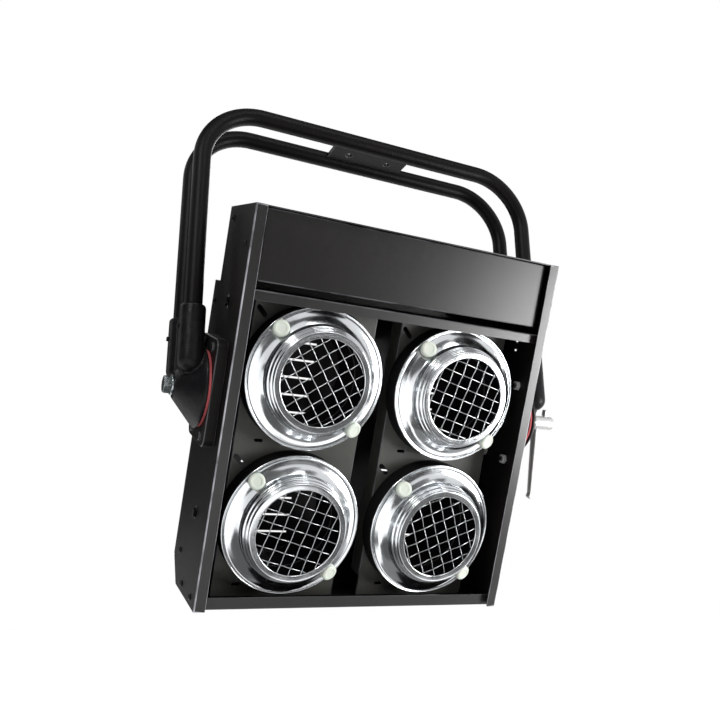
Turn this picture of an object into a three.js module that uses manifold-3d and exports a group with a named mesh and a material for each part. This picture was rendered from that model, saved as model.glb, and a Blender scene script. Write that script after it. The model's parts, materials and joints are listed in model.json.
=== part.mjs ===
// Four-lamp audience blinder light: a folded steel housing that tilts in a twin-tube yoke.
// Millimetres, +Z up. The origin is the middle of the hang plate's top face.
import * as THREE from "three";
import { mergeVertices } from "three/addons/utils/BufferGeometryUtils.js";
import Module from "manifold-3d";

const wasm = await Module();
wasm.setup();

// Housing: X right, Y from the front to the back, Z up from the foot of the front face
const boxDepth = 115;
const boxHeight = 92;
const stepDepth = 25;
const sheet = 1.5;
const flangeWidth = 13.5;
const rearFlangeWidth = 12;
const frontRecess = 8;
const lipHeight = 14;
const railHeight = 12;
const coverInset = 16.5;
const coverSlot = 9;
const coverReturn = 22;
const bottomFall = 12;
const bottomFallDepth = 108;
const rearChamfer = 27;
const rearLip = 14;

// Lamps, which set the width and the height of the bay round them
const bezelRadius = 88;
const bezelLipDepth = 22;
const bezelWall = 1.6;
const bellWidth = 22;
const barrelStep = 2.5;
const rimWidth = 8.5;
const mouthDepth = -6;
const canInset = 1.5;
const tubeProud = 1;
const tubeBack = 104;
const canWall = 1.2;
const wirePitch = 14.8;
const wireWidth = 1.4;
const guardRing = 4;
const buttonRadius = 10;
const buttonHeight = 8;
const lampSides = 24;
const lampGapAcross = 20;
const lampGapUp = 6;
const lampFoot = 11;
const lampHead = 9;
const lampSide = 12;

// Lamp plates
const plateDepth = 48;
const plateSpacing = 34;
const plateFold = 26;

// Yoke
const pipeRadius = 11;
const pipeWall = 2;
const pipeSpacing = 56;
const legReach = 19.4;
const barHeight = 366;
const bendRadius = 78;
const hangPlateLength = 114;
const hangPlateThickness = 6;
const hangHoleRadius = 4.6;
const hangHoleSpread = 60;

// Pivot, given in the housing's frame, and the tilt at which the light stands
const pivotDepth = 63;
const pivotHeight = 250;
const restTilt = 23.8;
const boltRadius = 6;
const boltFlats = 19;
const frictionRadius = 46;
const frictionThickness = 3;
const channelProud = 14;
const leverLength = 114;

// Clearances
const seatGap = 0.3;
const overrun = 5;
const degree = Math.PI / 180;

// Materials
function finish(colour, roughness, metalness) {
  return new THREE.MeshStandardMaterial({ color: colour, roughness, metalness });
}
const blackPaint = finish(0x242327, 0.5, 0.1);
const greyPaint = finish(0x4a494c, 0.5, 0.1);
const castBlack = finish(0x1d1c20, 0.55, 0.1);
const polished = finish(0xd8dadd, 0.12, 1);
const galvanised = finish(0xb9bcc0, 0.35, 1);
const zinc = finish(0xc3c6c6, 0.3, 1);
const sootBlack = finish(0x131215, 0.7, 0.1);
const nylon = finish(0xe6e6dc, 0.45, 0);
const redFibre = finish(0xc2575a, 0.75, 0);
const ceramic = finish(0xe9e4d8, 0.6, 0);
const blackNylon = finish(0x17171a, 0.5, 0);

// A closed geometry as a solid that can be joined and cut, its faces turned outwards
function solid(geometry) {
  const bare = geometry.clone();
  bare.deleteAttribute("normal");
  bare.deleteAttribute("uv");
  const welded = mergeVertices(bare);
  const place = welded.attributes.position;
  const index = welded.index.array;
  const corner = [new THREE.Vector3(), new THREE.Vector3(), new THREE.Vector3()];
  const kept = [];
  let volume = 0;
  for (let i = 0; i < index.length; i += 3) {
    const [a, b, c] = [index[i], index[i + 1], index[i + 2]];
    if (a === b || b === c || c === a) continue;
    [a, b, c].forEach((v, k) => corner[k].fromBufferAttribute(place, v));
    volume += corner[0].dot(corner[1].clone().cross(corner[2]));
    kept.push([a, b, c]);
  }
  const triangles = kept.flatMap(([a, b, c]) => (volume < 0 ? [a, c, b] : [a, b, c]));
  const mesh = new wasm.Mesh({
    numProp: 3,
    vertProperties: new Float32Array(place.array),
    triVerts: new Uint32Array(triangles),
  });
  mesh.merge();
  return new wasm.Manifold(mesh);
}

function joined(...solids) {
  return solids.reduce((all, next) => all.add(next));
}

function cut(body, ...tools) {
  return tools.reduce((left, tool) => left.subtract(tool), body);
}

// The faceted geometry of a solid
function faceted(body) {
  const mesh = body.getMesh();
  const geometry = new THREE.BufferGeometry();
  const points = new Float32Array(mesh.numVert * 3);
  for (let i = 0; i < mesh.numVert; i += 1) {
    for (let k = 0; k < 3; k += 1) points[i * 3 + k] = mesh.vertProperties[i * mesh.numProp + k];
  }
  geometry.setAttribute("position", new THREE.BufferAttribute(points, 3));
  geometry.setIndex(new THREE.BufferAttribute(new Uint32Array(mesh.triVerts), 1));
  geometry.computeVertexNormals();
  return geometry;
}

function piece(group, name, body, material) {
  const mesh = new THREE.Mesh(faceted(body), material);
  mesh.name = name;
  group.add(mesh);
  return mesh;
}

// Plain solids
function block(x0, x1, y0, y1, z0, z1) {
  const box = new THREE.BoxGeometry(x1 - x0, y1 - y0, z1 - z0);
  return solid(box.translate((x0 + x1) / 2, (y0 + y1) / 2, (z0 + z1) / 2));
}

function extruded(shape, depth, curveSegments = 6) {
  return new THREE.ExtrudeGeometry(shape, { depth, bevelEnabled: false, curveSegments });
}

// A section drawn in Y and Z, carried along X
function alongX(shape, from, to, curveSegments) {
  const turn = new THREE.Matrix4().makeBasis(
    new THREE.Vector3(0, 1, 0),
    new THREE.Vector3(0, 0, 1),
    new THREE.Vector3(1, 0, 0),
  );
  return solid(extruded(shape, to - from, curveSegments).applyMatrix4(turn).translate(from, 0, 0));
}

// An outline drawn in X and Z, carried along Y
function alongY(shape, from, to, curveSegments) {
  const turn = new THREE.Matrix4().makeBasis(
    new THREE.Vector3(1, 0, 0),
    new THREE.Vector3(0, 0, 1),
    new THREE.Vector3(0, -1, 0),
  );
  return solid(extruded(shape, to - from, curveSegments).applyMatrix4(turn).translate(0, to, 0));
}

// Round bars
function barX(radius, from, to, y, z, sides = 24) {
  const bar = new THREE.CylinderGeometry(radius, radius, to - from, sides);
  return solid(bar.rotateZ(-Math.PI / 2).translate((from + to) / 2, y, z));
}

function barY(radius, from, to, x, z, sides = 24) {
  const bar = new THREE.CylinderGeometry(radius, radius, to - from, sides);
  return solid(bar.translate(x, (from + to) / 2, z));
}

function barZ(radius, from, to, x, y, sides = 24) {
  const bar = new THREE.CylinderGeometry(radius, radius, to - from, sides);
  return solid(bar.rotateX(Math.PI / 2).translate(x, y, (from + to) / 2));
}

// A bolt's six-sided head along X
function hexX(flats, from, to, y, z) {
  const head = new THREE.CylinderGeometry(flats / Math.sqrt(3), flats / Math.sqrt(3), to - from, 6);
  return solid(head.rotateZ(-Math.PI / 2).translate((from + to) / 2, y, z));
}

// Points of a line moved sideways by the sheet's thickness, with mitred corners
function offsetLine(points, thickness) {
  const normals = points.slice(1).map((p, i) => {
    const way = p.clone().sub(points[i]).normalize();
    return new THREE.Vector2(-way.y, way.x);
  });
  return points.map((p, i) => {
    const before = normals[Math.max(i - 1, 0)];
    const after = normals[Math.min(i, normals.length - 1)];
    const mitre = before.clone().add(after).multiplyScalar(thickness / (1 + before.dot(after)));
    return p.clone().add(mitre);
  });
}

function line(pairs) {
  return pairs.map(([a, b]) => new THREE.Vector2(a, b));
}

// The section of a folded sheet, given the line of one face; the sheet lies on that line's left
function foldedSection(pairs, thickness) {
  const face = line(pairs);
  return new THREE.Shape([...face, ...offsetLine(face, thickness).reverse()]);
}

// A ring turned round the Y axis from the line of its outer face, its wall on that line's right
function turnedRing(pairs, wall, sides) {
  const face = line(pairs);
  const profile = [...face, ...offsetLine(face, -wall).reverse(), face[0].clone()];
  return solid(new THREE.LatheGeometry(profile, sides));
}

function turnedX(pairs, sides) {
  return solid(new THREE.LatheGeometry(line(pairs), sides).rotateZ(-Math.PI / 2));
}

// A slot with round ends, as a hole's path
function slotPath(x, y, length, width, turn = 0) {
  const half = (length - width) / 2;
  const path = new THREE.Path();
  const ends = [half, -half].map((s) => [x + s * Math.cos(turn), y + s * Math.sin(turn)]);
  path.absarc(ends[0][0], ends[0][1], width / 2, turn - Math.PI / 2, turn + Math.PI / 2, false);
  path.absarc(ends[1][0], ends[1][1], width / 2, turn + Math.PI / 2, turn + Math.PI * 1.5, false);
  path.closePath();
  return path;
}

function circlePath(x, y, radius) {
  const path = new THREE.Path();
  path.absarc(x, y, radius, 0, Math.PI * 2, false);
  return path;
}

function roundedRectangle(width, height, corner) {
  const shape = new THREE.Shape();
  const [w, h] = [width / 2 - corner, height / 2 - corner];
  shape.absarc(w, h, corner, 0, Math.PI / 2, false);
  shape.absarc(-w, h, corner, Math.PI / 2, Math.PI, false);
  shape.absarc(-w, -h, corner, Math.PI, Math.PI * 1.5, false);
  shape.absarc(w, -h, corner, Math.PI * 1.5, Math.PI * 2, false);
  shape.closePath();
  return shape;
}

function mirroredX(body) {
  return body.mirror([1, 0, 0]);
}

// Places worked out from the driving dimensions
const barrelFoot = bezelRadius - bellWidth;
const barrelRadius = barrelFoot - 2 * barrelStep;
const mouthRadius = barrelRadius - rimWidth;
const canRadius = bezelRadius - canInset;
const tubeRadius = barrelRadius + tubeProud;
const buttonSeatRadius = bezelRadius - bellWidth / 2;
const lampSpread = 2 * bezelRadius + lampGapAcross;
const lampRise = 2 * bezelRadius + lampGapUp;
const lowerLampHeight = bezelRadius + lampFoot;
const plateWidth = lampSpread - plateSpacing;
const halfWidth = lampSpread + lampSide;
const innerHalf = halfWidth - sheet - seatGap;
const coverHalf = halfWidth - coverInset;
const stepHeight = lowerLampHeight + lampRise + bezelRadius + lampHead;
const housingHeight = stepHeight + boxHeight;
const bayDepth = boxDepth + stepDepth;
const bayBack = bayDepth - sheet - seatGap;
const chamferTop = rearChamfer - bottomFall;
const ceilingTop = stepHeight - sheet - seatGap;
const lampCentres = [
  ["upper_left", -lampSpread / 2, lowerLampHeight + lampRise],
  ["upper_right", lampSpread / 2, lowerLampHeight + lampRise],
  ["lower_left", -lampSpread / 2, lowerLampHeight],
  ["lower_right", lampSpread / 2, lowerLampHeight],
];

function bottomAt(depth) {
  return (-bottomFall * depth) / bottomFallDepth;
}

// Channel that carries each pivot
const channelDepth = 88;
const channelHeight = 126;
const channelWall = 2.5;
const channelCorner = 12;
const channelFace = halfWidth + channelProud;
const postRadius = 4;
const postHead = 6;
const postProud = 2.5;
const postInside = 7;
const postAcross = 24;
const postRise = 52;
const postSides = 10;
const postPlaces = [-postAcross, postAcross].flatMap((across) => [
  [pivotDepth + across, pivotHeight - postRise],
  [pivotDepth + across, pivotHeight + postRise],
]);

// Side panels, with the slotted holes of their screws
const sideScrewRadius = 3;
const sideScrewHead = 5.5;
const sideSlotLength = 16;
const sideSlotWidth = 7.5;
const sideScrewForward = 3;
const sideScrewRise = 106;
const sideScrewDrop = 151;
const sideScrewDepth = pivotDepth - sideScrewForward;
const sideScrewHeights = { upper: pivotHeight + sideScrewRise, lower: pivotHeight - sideScrewDrop };
const pivotHole = boltRadius + seatGap;

function sidePanel() {
  const outline = new THREE.Shape(
    line([
      [0, 0],
      [bottomFallDepth, -bottomFall],
      [bayDepth, chamferTop],
      [bayDepth, stepHeight],
      [boxDepth, stepHeight],
      [boxDepth, housingHeight],
      [0, housingHeight],
    ]),
  );
  for (const height of Object.values(sideScrewHeights)) {
    outline.holes.push(slotPath(sideScrewDepth, height, sideSlotLength, sideSlotWidth, Math.PI / 2));
  }
  const web = alongX(outline, -halfWidth, -halfWidth + sheet, 3);
  const front = block(-halfWidth, -halfWidth + flangeWidth, 0, sheet, 0, housingHeight);
  const rearEdge = -halfWidth + rearFlangeWidth;
  const rear = block(-halfWidth, rearEdge, bayDepth - sheet, bayDepth, chamferTop, stepHeight);
  const [outside, inside] = [-halfWidth - overrun, -halfWidth + sheet + overrun];
  const pivotBore = barX(pivotHole, outside, inside, pivotDepth, pivotHeight, 16);
  const postHole = postRadius + seatGap;
  const postBores = postPlaces.map(([y, z]) => barX(postHole, outside, inside, y, z, postSides));
  return cut(joined(web, front, rear), pivotBore, ...postBores);
}

// Screws through the side slots, with a washer-faced head outside and a nut inside
const sideScrewProud = 3.5;
const sideNutHeight = 5;
const sideNutFlats = 10;

function sideScrew(height) {
  const outside = -halfWidth - seatGap;
  const inside = -halfWidth + sheet + seatGap;
  const shank = barX(sideScrewRadius, outside, inside, sideScrewDepth, height, 8);
  const head = barX(sideScrewHead, outside - sideScrewProud, outside, sideScrewDepth, height, 12);
  const nut = hexX(sideNutFlats, inside, inside + sideNutHeight, sideScrewDepth, height);
  return joined(head, shank, nut);
}

// Pressed channel on each side that stands the pivot off the panel, on four posts that go through it
function pivotChannel() {
  const outer = roundedRectangle(channelDepth, channelHeight, channelCorner);
  const inner = roundedRectangle(
    channelDepth - 2 * channelWall,
    channelHeight - 2 * channelWall,
    channelCorner - channelWall,
  );
  const root = -halfWidth - seatGap;
  const shell = alongX(outer, -channelFace, root, 3).translate([0, pivotDepth, pivotHeight]);
  const hollow = alongX(inner, -channelFace + channelWall, root + overrun, 3);
  const bore = barX(pivotHole, -channelFace - overrun, root + overrun, pivotDepth, pivotHeight, 16);
  const tray = cut(shell, hollow.translate([0, pivotDepth, pivotHeight]), bore);
  const [headFace, postEnd] = [-channelFace - postProud, -halfWidth + sheet + postInside];
  const posts = postPlaces.flatMap(([y, z]) => [
    barX(postHead, headFace, -channelFace + channelWall, y, z, postSides),
    barX(postRadius, -channelFace, postEnd, y, z, postSides),
  ]);
  return joined(tray, ...posts);
}

// Folded sheets that close the housing between the two side panels
const glandInset = 88;
const glandX = halfWidth - glandInset;
const glandHeight = stepHeight + boxHeight / 2;
const glandThread = 10;
const glandFlats = 24;
const glandLength = 24;
const glandNut = 5;
const glandBore = 4.5;

function topSheet() {
  const section = foldedSection(
    [
      [sheet + seatGap, housingHeight - sheet],
      [boxDepth - sheet, housingHeight - sheet],
      [boxDepth - sheet, stepHeight - sheet],
      [bayBack - sheet, stepHeight - sheet],
      [bayBack - sheet, stepHeight - rearLip],
    ],
    sheet,
  );
  const hole = glandThread + seatGap;
  const glandHole = barY(hole, boxDepth - sheet - overrun, boxDepth + overrun, glandX, glandHeight, 12);
  return cut(alongX(section, -innerHalf, innerHalf), glandHole);
}

function bayCeiling() {
  const section = foldedSection(
    [
      [frontRecess, ceilingTop - railHeight],
      [frontRecess, ceilingTop],
      [bayBack - rearLip, ceilingTop],
    ],
    -sheet,
  );
  return alongX(section, -innerHalf, innerHalf);
}

function frontCover() {
  const low = ceilingTop + coverSlot;
  const high = housingHeight - sheet - seatGap;
  const section = foldedSection(
    [
      [frontRecess + coverReturn, low],
      [frontRecess, low],
      [frontRecess, high],
      [frontRecess + coverReturn, high],
    ],
    -sheet,
  );
  return alongX(section, -coverHalf, coverHalf);
}

function bottomSheet() {
  const section = foldedSection(
    [
      [frontRecess, lipHeight],
      [frontRecess, bottomAt(frontRecess)],
      [bottomFallDepth, -bottomFall],
      [bayBack, chamferTop],
      [bayBack, chamferTop + rearLip],
    ],
    sheet,
  );
  return alongX(section, -innerHalf, innerHalf);
}

// Back cover, with a column of vent slots behind each pair of lamps
const ventLength = 80;
const ventHeight = 2.6;
const ventRows = 14;
const ventFoot = 8.5;
const ventSpare = 27;
const ventFirst = chamferTop + ventFoot;
const ventPitch = (stepHeight - chamferTop - ventSpare) / ventRows;
const backFace = bayDepth + seatGap;

function backCover() {
  const back = backFace + sheet;
  const cover = block(-halfWidth, halfWidth, backFace, back, chamferTop + seatGap, stepHeight);
  const vents = [];
  for (const side of [-1, 1]) {
    const left = (side * lampSpread - ventLength) / 2;
    for (let row = 0; row < ventRows; row += 1) {
      const low = ventFirst + row * ventPitch;
      vents.push(block(left, left + ventLength, backFace - overrun, back + overrun, low, low + ventHeight));
    }
  }
  return cut(cover, ...vents);
}

// Lamp plates: upright channels that carry two lamps each
const plateTop = ceilingTop - sheet - seatGap;
const keySlotMargin = 4;
const keySlotLength = 18;
const keySlotWidth = 6;
const keySlotTurn = 135 * degree;
const tabSlotLength = 11;
const tabSlotWidth = 4;
const tabSlotShares = [-0.58, -0.99];

function lampPlate(side) {
  const [x0, x1] = [(side * lampSpread - plateWidth) / 2, (side * lampSpread + plateWidth) / 2];
  const low = bottomAt(plateDepth) + 2 * sheet;
  const outline = new THREE.Shape(
    line([
      [x0, low],
      [x1, low],
      [x1, plateTop],
      [x0, plateTop],
    ]),
  );
  const back = plateDepth + plateFold;
  const tubeHoles = [];
  for (const [, x, z] of lampCentres.filter((centre) => centre[1] * side > 0)) {
    tubeHoles.push(barY(tubeRadius + seatGap, plateDepth - overrun, back, x, z, lampSides));
    const reach = (plateWidth / 2 - keySlotMargin) / Math.sin(keySlotTurn) - keySlotLength / 2;
    const [kx, kz] = [x + reach * Math.cos(keySlotTurn), z + reach * Math.sin(keySlotTurn)];
    outline.holes.push(slotPath(kx, kz, keySlotLength, keySlotWidth, keySlotTurn));
    const [tx, tz] = [x + tabSlotShares[0] * canRadius, z + tabSlotShares[1] * canRadius];
    outline.holes.push(slotPath(tx, tz, tabSlotLength, tabSlotWidth));
  }
  const face = cut(alongY(outline, plateDepth, plateDepth + sheet, 3), ...tubeHoles);
  const left = block(x0, x0 + sheet, plateDepth, back, low + plateFold, plateTop);
  const right = block(x1 - sheet, x1, plateDepth, back, low + plateFold, plateTop);
  const top = block(x0, x1, plateDepth, back, plateTop - sheet, plateTop);
  return joined(face, left, right, top);
}

// Bezel: a spun ring with a stepped barrel and a bell that falls back to its lip
const bellStart = 13;
const lipReach = 2.5;

function bezel() {
  const first = barrelRadius + barrelStep;
  return turnedRing(
    [
      [bezelRadius, bezelLipDepth + lipReach],
      [bezelRadius, bezelLipDepth - lipReach / 2],
      [barrelFoot, bellStart],
      [barrelFoot, mouthDepth + 5 * barrelStep],
      [first, mouthDepth + 4 * barrelStep],
      [first, mouthDepth + 2 * barrelStep],
      [barrelRadius, mouthDepth + barrelStep],
      [barrelRadius, mouthDepth],
      [mouthRadius, mouthDepth],
    ],
    bezelWall,
    lampSides,
  );
}

// Black can behind the bezel: a wide drum on the plate, and a tube that runs back through it
const drumFront = bezelLipDepth + lipReach + seatGap;

function lampCan() {
  const seat = plateDepth - seatGap;
  return turnedRing(
    [
      [tubeRadius, tubeBack],
      [tubeRadius, seat],
      [canRadius, seat],
      [canRadius, drumFront],
    ],
    canWall,
    lampSides,
  );
}

// Wire guard: a flat ring behind the mouth's rim with two crossing rows of wires. Each guard is cut
// from the mesh at its own turn, and its rows lie off centre by shares of the pitch.
const guardTurns = { upper_left: -35.5, upper_right: 13.5, lower_left: 15.5, lower_right: -24 };
const guardShiftShares = {
  upper_left: [0.4, -0.16],
  upper_right: [-0.1, -0.18],
  lower_left: [-0.32, 0.1],
  lower_right: [-0.28, 0.3],
};
const guardFront = mouthDepth + bezelWall + seatGap;

function wireGuard(turnDegrees, [acrossShare, upShare]) {
  const outer = mouthRadius + guardRing;
  const inner = mouthRadius + seatGap;
  const back = guardFront + wireWidth;
  const ring = cut(
    barY(outer, guardFront, back, 0, 0, lampSides),
    barY(inner, guardFront - overrun, back + overrun, 0, 0, lampSides),
  );
  const wireReach = inner + guardRing / 2;
  const halfWire = wireWidth / 2;
  const rows = Math.ceil(inner / wirePitch);
  const wires = [];
  for (let step = -rows; step <= rows; step += 1) {
    const [across, up] = [acrossShare, upShare].map((share) => (step + share) * wirePitch);
    const [tall, wide] = [across, up].map((offset) => Math.sqrt(wireReach ** 2 - offset ** 2));
    if (Math.abs(across) < inner - wireWidth) {
      wires.push(block(across - halfWire, across + halfWire, guardFront, back, -tall, tall));
    }
    if (Math.abs(up) < inner - wireWidth) {
      wires.push(block(-wide, wide, guardFront, back, up - halfWire, up + halfWire));
    }
  }
  return joined(ring, ...wires).rotate([0, turnDegrees, 0]);
}

// Retaining button, standing square to the bell of the bezel
const bellFall = bezelLipDepth - lipReach / 2 - bellStart;
const bellSlope = Math.atan2(bellFall, bellWidth) / degree;
const buttonEdge = 2;
const buttonSides = 12;

function button(turnDegrees) {
  const profile = line([
    [0, 0],
    [buttonRadius, 0],
    [buttonRadius, -(buttonHeight - buttonEdge)],
    [buttonRadius - buttonEdge, -buttonHeight],
    [0, -buttonHeight],
  ]);
  const seatDepth = bellStart + ((buttonSeatRadius - barrelFoot) * bellFall) / bellWidth;
  const head = solid(new THREE.LatheGeometry(profile, buttonSides));
  return head
    .translate([0, -seatGap, 0])
    .rotate([0, 0, bellSlope])
    .translate([buttonSeatRadius, seatDepth, 0])
    .rotate([0, turnDegrees, 0]);
}

// Lamp holder under the top of the can's tube
const holderWidth = 26;
const holderHeight = 15;
const holderLength = 20;
const holderPin = 2.2;

function lampHolder() {
  const back = tubeBack - holderPin;
  const inside = tubeRadius - canWall - seatGap;
  const low = inside - holderHeight;
  const raw = block(-holderWidth / 2, holderWidth / 2, back - holderLength, back, low, tubeRadius);
  const fitted = raw.intersect(barY(inside, -back, 2 * back, 0, 0, lampSides));
  const pinFront = back - holderLength - overrun;
  const pins = [-1, 1].map((side) =>
    barY(holderPin, pinFront, back, (side * holderWidth) / 4, low + holderHeight / 2, 10),
  );
  return cut(fitted, ...pins);
}

// Electrics on the back wall of the upper box
const wallFace = boxDepth - sheet - seatGap;
const terminalLength = 66;
const terminalWidth = 20;
const terminalHeight = 17;
const terminalWays = 6;
const earthRadius = 3;
const earthHeight = 16;
const earthX = -glandX;

function terminalBlock() {
  const front = wallFace - terminalHeight;
  const [low, high] = [glandHeight - terminalWidth / 2, glandHeight + terminalWidth / 2];
  const body = block(-terminalLength / 2, terminalLength / 2, front, wallFace, low, high);
  const way = terminalLength / terminalWays;
  const holes = [];
  for (let i = 0; i < terminalWays; i += 1) {
    const x = (i + 1 / 2) * way - terminalLength / 2;
    holes.push(barY(way / 4, front - overrun, (front + wallFace) / 2, x, glandHeight, 6));
  }
  return cut(body, ...holes);
}

function earthStud() {
  const stud = barY(earthRadius, wallFace - earthHeight, wallFace, earthX, glandHeight, 12);
  const nut = barY(2 * earthRadius, wallFace - earthRadius, wallFace, earthX, glandHeight, 6);
  return joined(stud, nut);
}

function cableGland() {
  const outside = boxDepth + seatGap;
  const [front, back] = [wallFace - glandNut, outside + glandLength];
  const corners = glandFlats / Math.sqrt(3);
  const body = barY(glandThread, wallFace, back, glandX, glandHeight, 12);
  const head = barY(corners, outside, outside + glandLength / 3, glandX, glandHeight, 6);
  const nut = barY(corners, front, wallFace, glandX, glandHeight, 6);
  const bore = barY(glandBore, front - overrun, back + overrun, glandX, glandHeight, 10);
  return cut(joined(body, head, nut), bore);
}

// Yoke, drawn with the pivot at its own origin and the legs upright
const washerFace = channelFace + seatGap + frictionThickness;
const hubBase = washerFace + seatGap;
const legX = hubBase + legReach;
const halfPipes = pipeSpacing / 2;
const pipeSides = 16;
const bendSteps = 8;
const socketRadius = 15.5;
const socketTop = 90;
const socketFloor = 30;
const socketFoot = 25;

// The tube's middle line: up one leg, round the bend, and mirrored down the other leg
function yokeLine(foot) {
  const half = [new THREE.Vector3(-legX, 0, foot)];
  for (let i = 0; i <= bendSteps; i += 1) {
    const turn = (i / bendSteps) * (Math.PI / 2);
    const x = -legX + bendRadius * (1 - Math.cos(turn));
    half.push(new THREE.Vector3(x, 0, barHeight - bendRadius * (1 - Math.sin(turn))));
  }
  return [...half, ...half.map((p) => new THREE.Vector3(-p.x, 0, p.z)).reverse()];
}

// A round bar swept along that line, with one ring of corners at each of its points
function sweptBar(radius, y, foot, sides) {
  const points = yokeLine(foot);
  const rings = points.map((p, i) => {
    const before = points[Math.max(i - 1, 0)];
    const after = points[Math.min(i + 1, points.length - 1)];
    const way = after.clone().sub(before).normalize();
    const out = new THREE.Vector3(-way.z, 0, way.x);
    const corners = [];
    for (let k = 0; k < sides; k += 1) {
      const turn = (k * 2 * Math.PI) / sides;
      const corner = out.clone().multiplyScalar(radius * Math.cos(turn)).add(p);
      corners.push(corner.setY(y + radius * Math.sin(turn)));
    }
    return corners;
  });
  const middles = [points[0], points.at(-1)].map((p) => p.clone().setY(y));
  const [first, last] = [rings.length * sides, rings.length * sides + 1];
  const lastRing = (rings.length - 1) * sides;
  const index = [];
  for (let k = 0; k < sides; k += 1) {
    const next = (k + 1) % sides;
    index.push(k, next, first);
    index.push(lastRing + next, lastRing + k, last);
    for (let ring = 0; ring < lastRing; ring += sides) {
      index.push(ring + k, ring + sides + k, ring + next);
      index.push(ring + next, ring + sides + k, ring + sides + next);
    }
  }
  const geometry = new THREE.BufferGeometry().setFromPoints([...rings.flat(), ...middles]);
  geometry.setIndex(index);
  return solid(geometry);
}

function yokeTube(y) {
  const foot = socketFloor + seatGap;
  const bar = sweptBar(pipeRadius, y, foot, pipeSides);
  return cut(bar, sweptBar(pipeRadius - pipeWall, y, foot - overrun, pipeSides / 2));
}

function hangPlate() {
  const width = pipeSpacing - 2 * pipeRadius - 2 * seatGap;
  const outline = new THREE.Shape(
    line([
      [-hangPlateLength / 2, -width / 2],
      [hangPlateLength / 2, -width / 2],
      [hangPlateLength / 2, width / 2],
      [-hangPlateLength / 2, width / 2],
    ]),
  );
  for (const side of [-1, 1]) {
    outline.holes.push(circlePath((side * hangHoleSpread) / 2, 0, hangHoleRadius));
  }
  const low = barHeight - hangPlateThickness / 2;
  return solid(extruded(outline, hangPlateThickness, 6).translate(0, 0, low));
}

// End casting: a conical hub on the friction washer with a socket for each tube
const hubRimRadius = 48;
const hubRim = 5;
const hubNoseRadius = 15;
const hubLength = 31.4;
const hubNose = hubBase + hubLength;
const hubSides = 24;
const webThickness = 16;
const grubRadius = 3;
const grubHeight = 64;
const grubProud = 2;

function socketSolid(y) {
  const tube = barZ(socketRadius, socketFoot, socketTop, -legX, y, pipeSides);
  const ball = new THREE.SphereGeometry(socketRadius, pipeSides, pipeSides / 2);
  return joined(tube, solid(ball.rotateX(Math.PI / 2).translate(-legX, y, socketFoot)));
}

function yokeEnd() {
  const hub = turnedX(
    [
      [0, -hubNose],
      [hubNoseRadius, -hubNose],
      [hubRimRadius - hubRim / 2, -hubBase - hubRim],
      [hubRimRadius, -hubBase - hubRim / 2],
      [hubRimRadius, -hubBase],
      [0, -hubBase],
    ],
    hubSides,
  );
  const webOutline = new THREE.Shape(
    line([
      [-halfPipes - socketRadius / 2, socketFoot],
      [-hubNoseRadius, 0],
      [hubNoseRadius, 0],
      [halfPipes + socketRadius / 2, socketFoot],
      [halfPipes, socketTop - hubRim],
      [-halfPipes, socketTop - hubRim],
    ]),
  );
  const web = alongX(webOutline, -legX - webThickness / 2, -legX + webThickness / 2);
  const bores = [-halfPipes, halfPipes].map((y) =>
    barZ(pipeRadius + seatGap, socketFloor, socketTop + overrun, -legX, y, pipeSides),
  );
  const grubBores = [-halfPipes, halfPipes].map((y) =>
    barX(grubRadius + seatGap, -legX - socketRadius - overrun, -legX, y, grubHeight, 12),
  );
  const bore = barX(pivotHole, -hubNose - overrun, -hubBase + overrun, 0, 0, 16);
  const body = joined(hub, web, socketSolid(-halfPipes), socketSolid(halfPipes));
  return cut(body, bore, ...bores, ...grubBores);
}

function grubScrew(y) {
  const inner = -legX - pipeRadius - seatGap;
  const outer = -legX - socketRadius - grubProud;
  return barX(grubRadius, outer, inner, y, grubHeight, 12);
}

function frictionWasher() {
  const disc = barX(frictionRadius, -washerFace, -channelFace - seatGap, 0, 0, hubSides);
  return cut(disc, barX(pivotHole, -washerFace - overrun, -channelFace + overrun, 0, 0, 16));
}

// Pivot fastenings, drawn for the left side with the pivot at the origin
const plainWasherRadius = 12;
const plainWasher = 2.5;
const boltHead = 8;
const weldNut = 10;
const plainWasherFace = hubNose + seatGap + plainWasher;

function plainWasherBody() {
  const disc = barX(plainWasherRadius, -plainWasherFace, -hubNose - seatGap, 0, 0, 16);
  return cut(disc, barX(pivotHole, -plainWasherFace - overrun, -hubNose + overrun, 0, 0, 16));
}

function pivotBolt() {
  const head = -plainWasherFace - seatGap;
  const inside = -halfWidth + sheet + seatGap;
  const shank = barX(boltRadius, head, inside, 0, 0, 16);
  const hexHead = hexX(boltFlats, head - boltHead, head, 0, 0);
  return joined(hexHead, shank, hexX(boltFlats, inside, inside + weldNut, 0, 0));
}

// Clamp lever: a hub on the stud with a long arm, and a small clamp screw in the hub's top
const leverHubRadius = 10;
const leverHubStart = plainWasherFace + seatGap;
const leverHubLength = 33.9;
const leverHubEnd = leverHubStart + leverHubLength;
const leverArmRoot = 15;
const leverArmTip = 9;
const leverArmThickness = 5.5;
const leverArmStart = 3;
const leverArmLean = 7.5;
const studInset = 8;
const studEnd = leverHubEnd - studInset;
const clampScrewRadius = 3;
const clampScrewHead = 8;
const clampScrewInset = 12;
const clampScrewX = leverHubEnd - clampScrewInset;
const clampScrewProud = 9;

function pivotStud() {
  const inside = -halfWidth + sheet + seatGap;
  const shank = barX(boltRadius, -studEnd, inside, 0, 0, 16);
  return joined(shank, hexX(boltFlats, inside, inside + weldNut, 0, 0));
}

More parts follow.
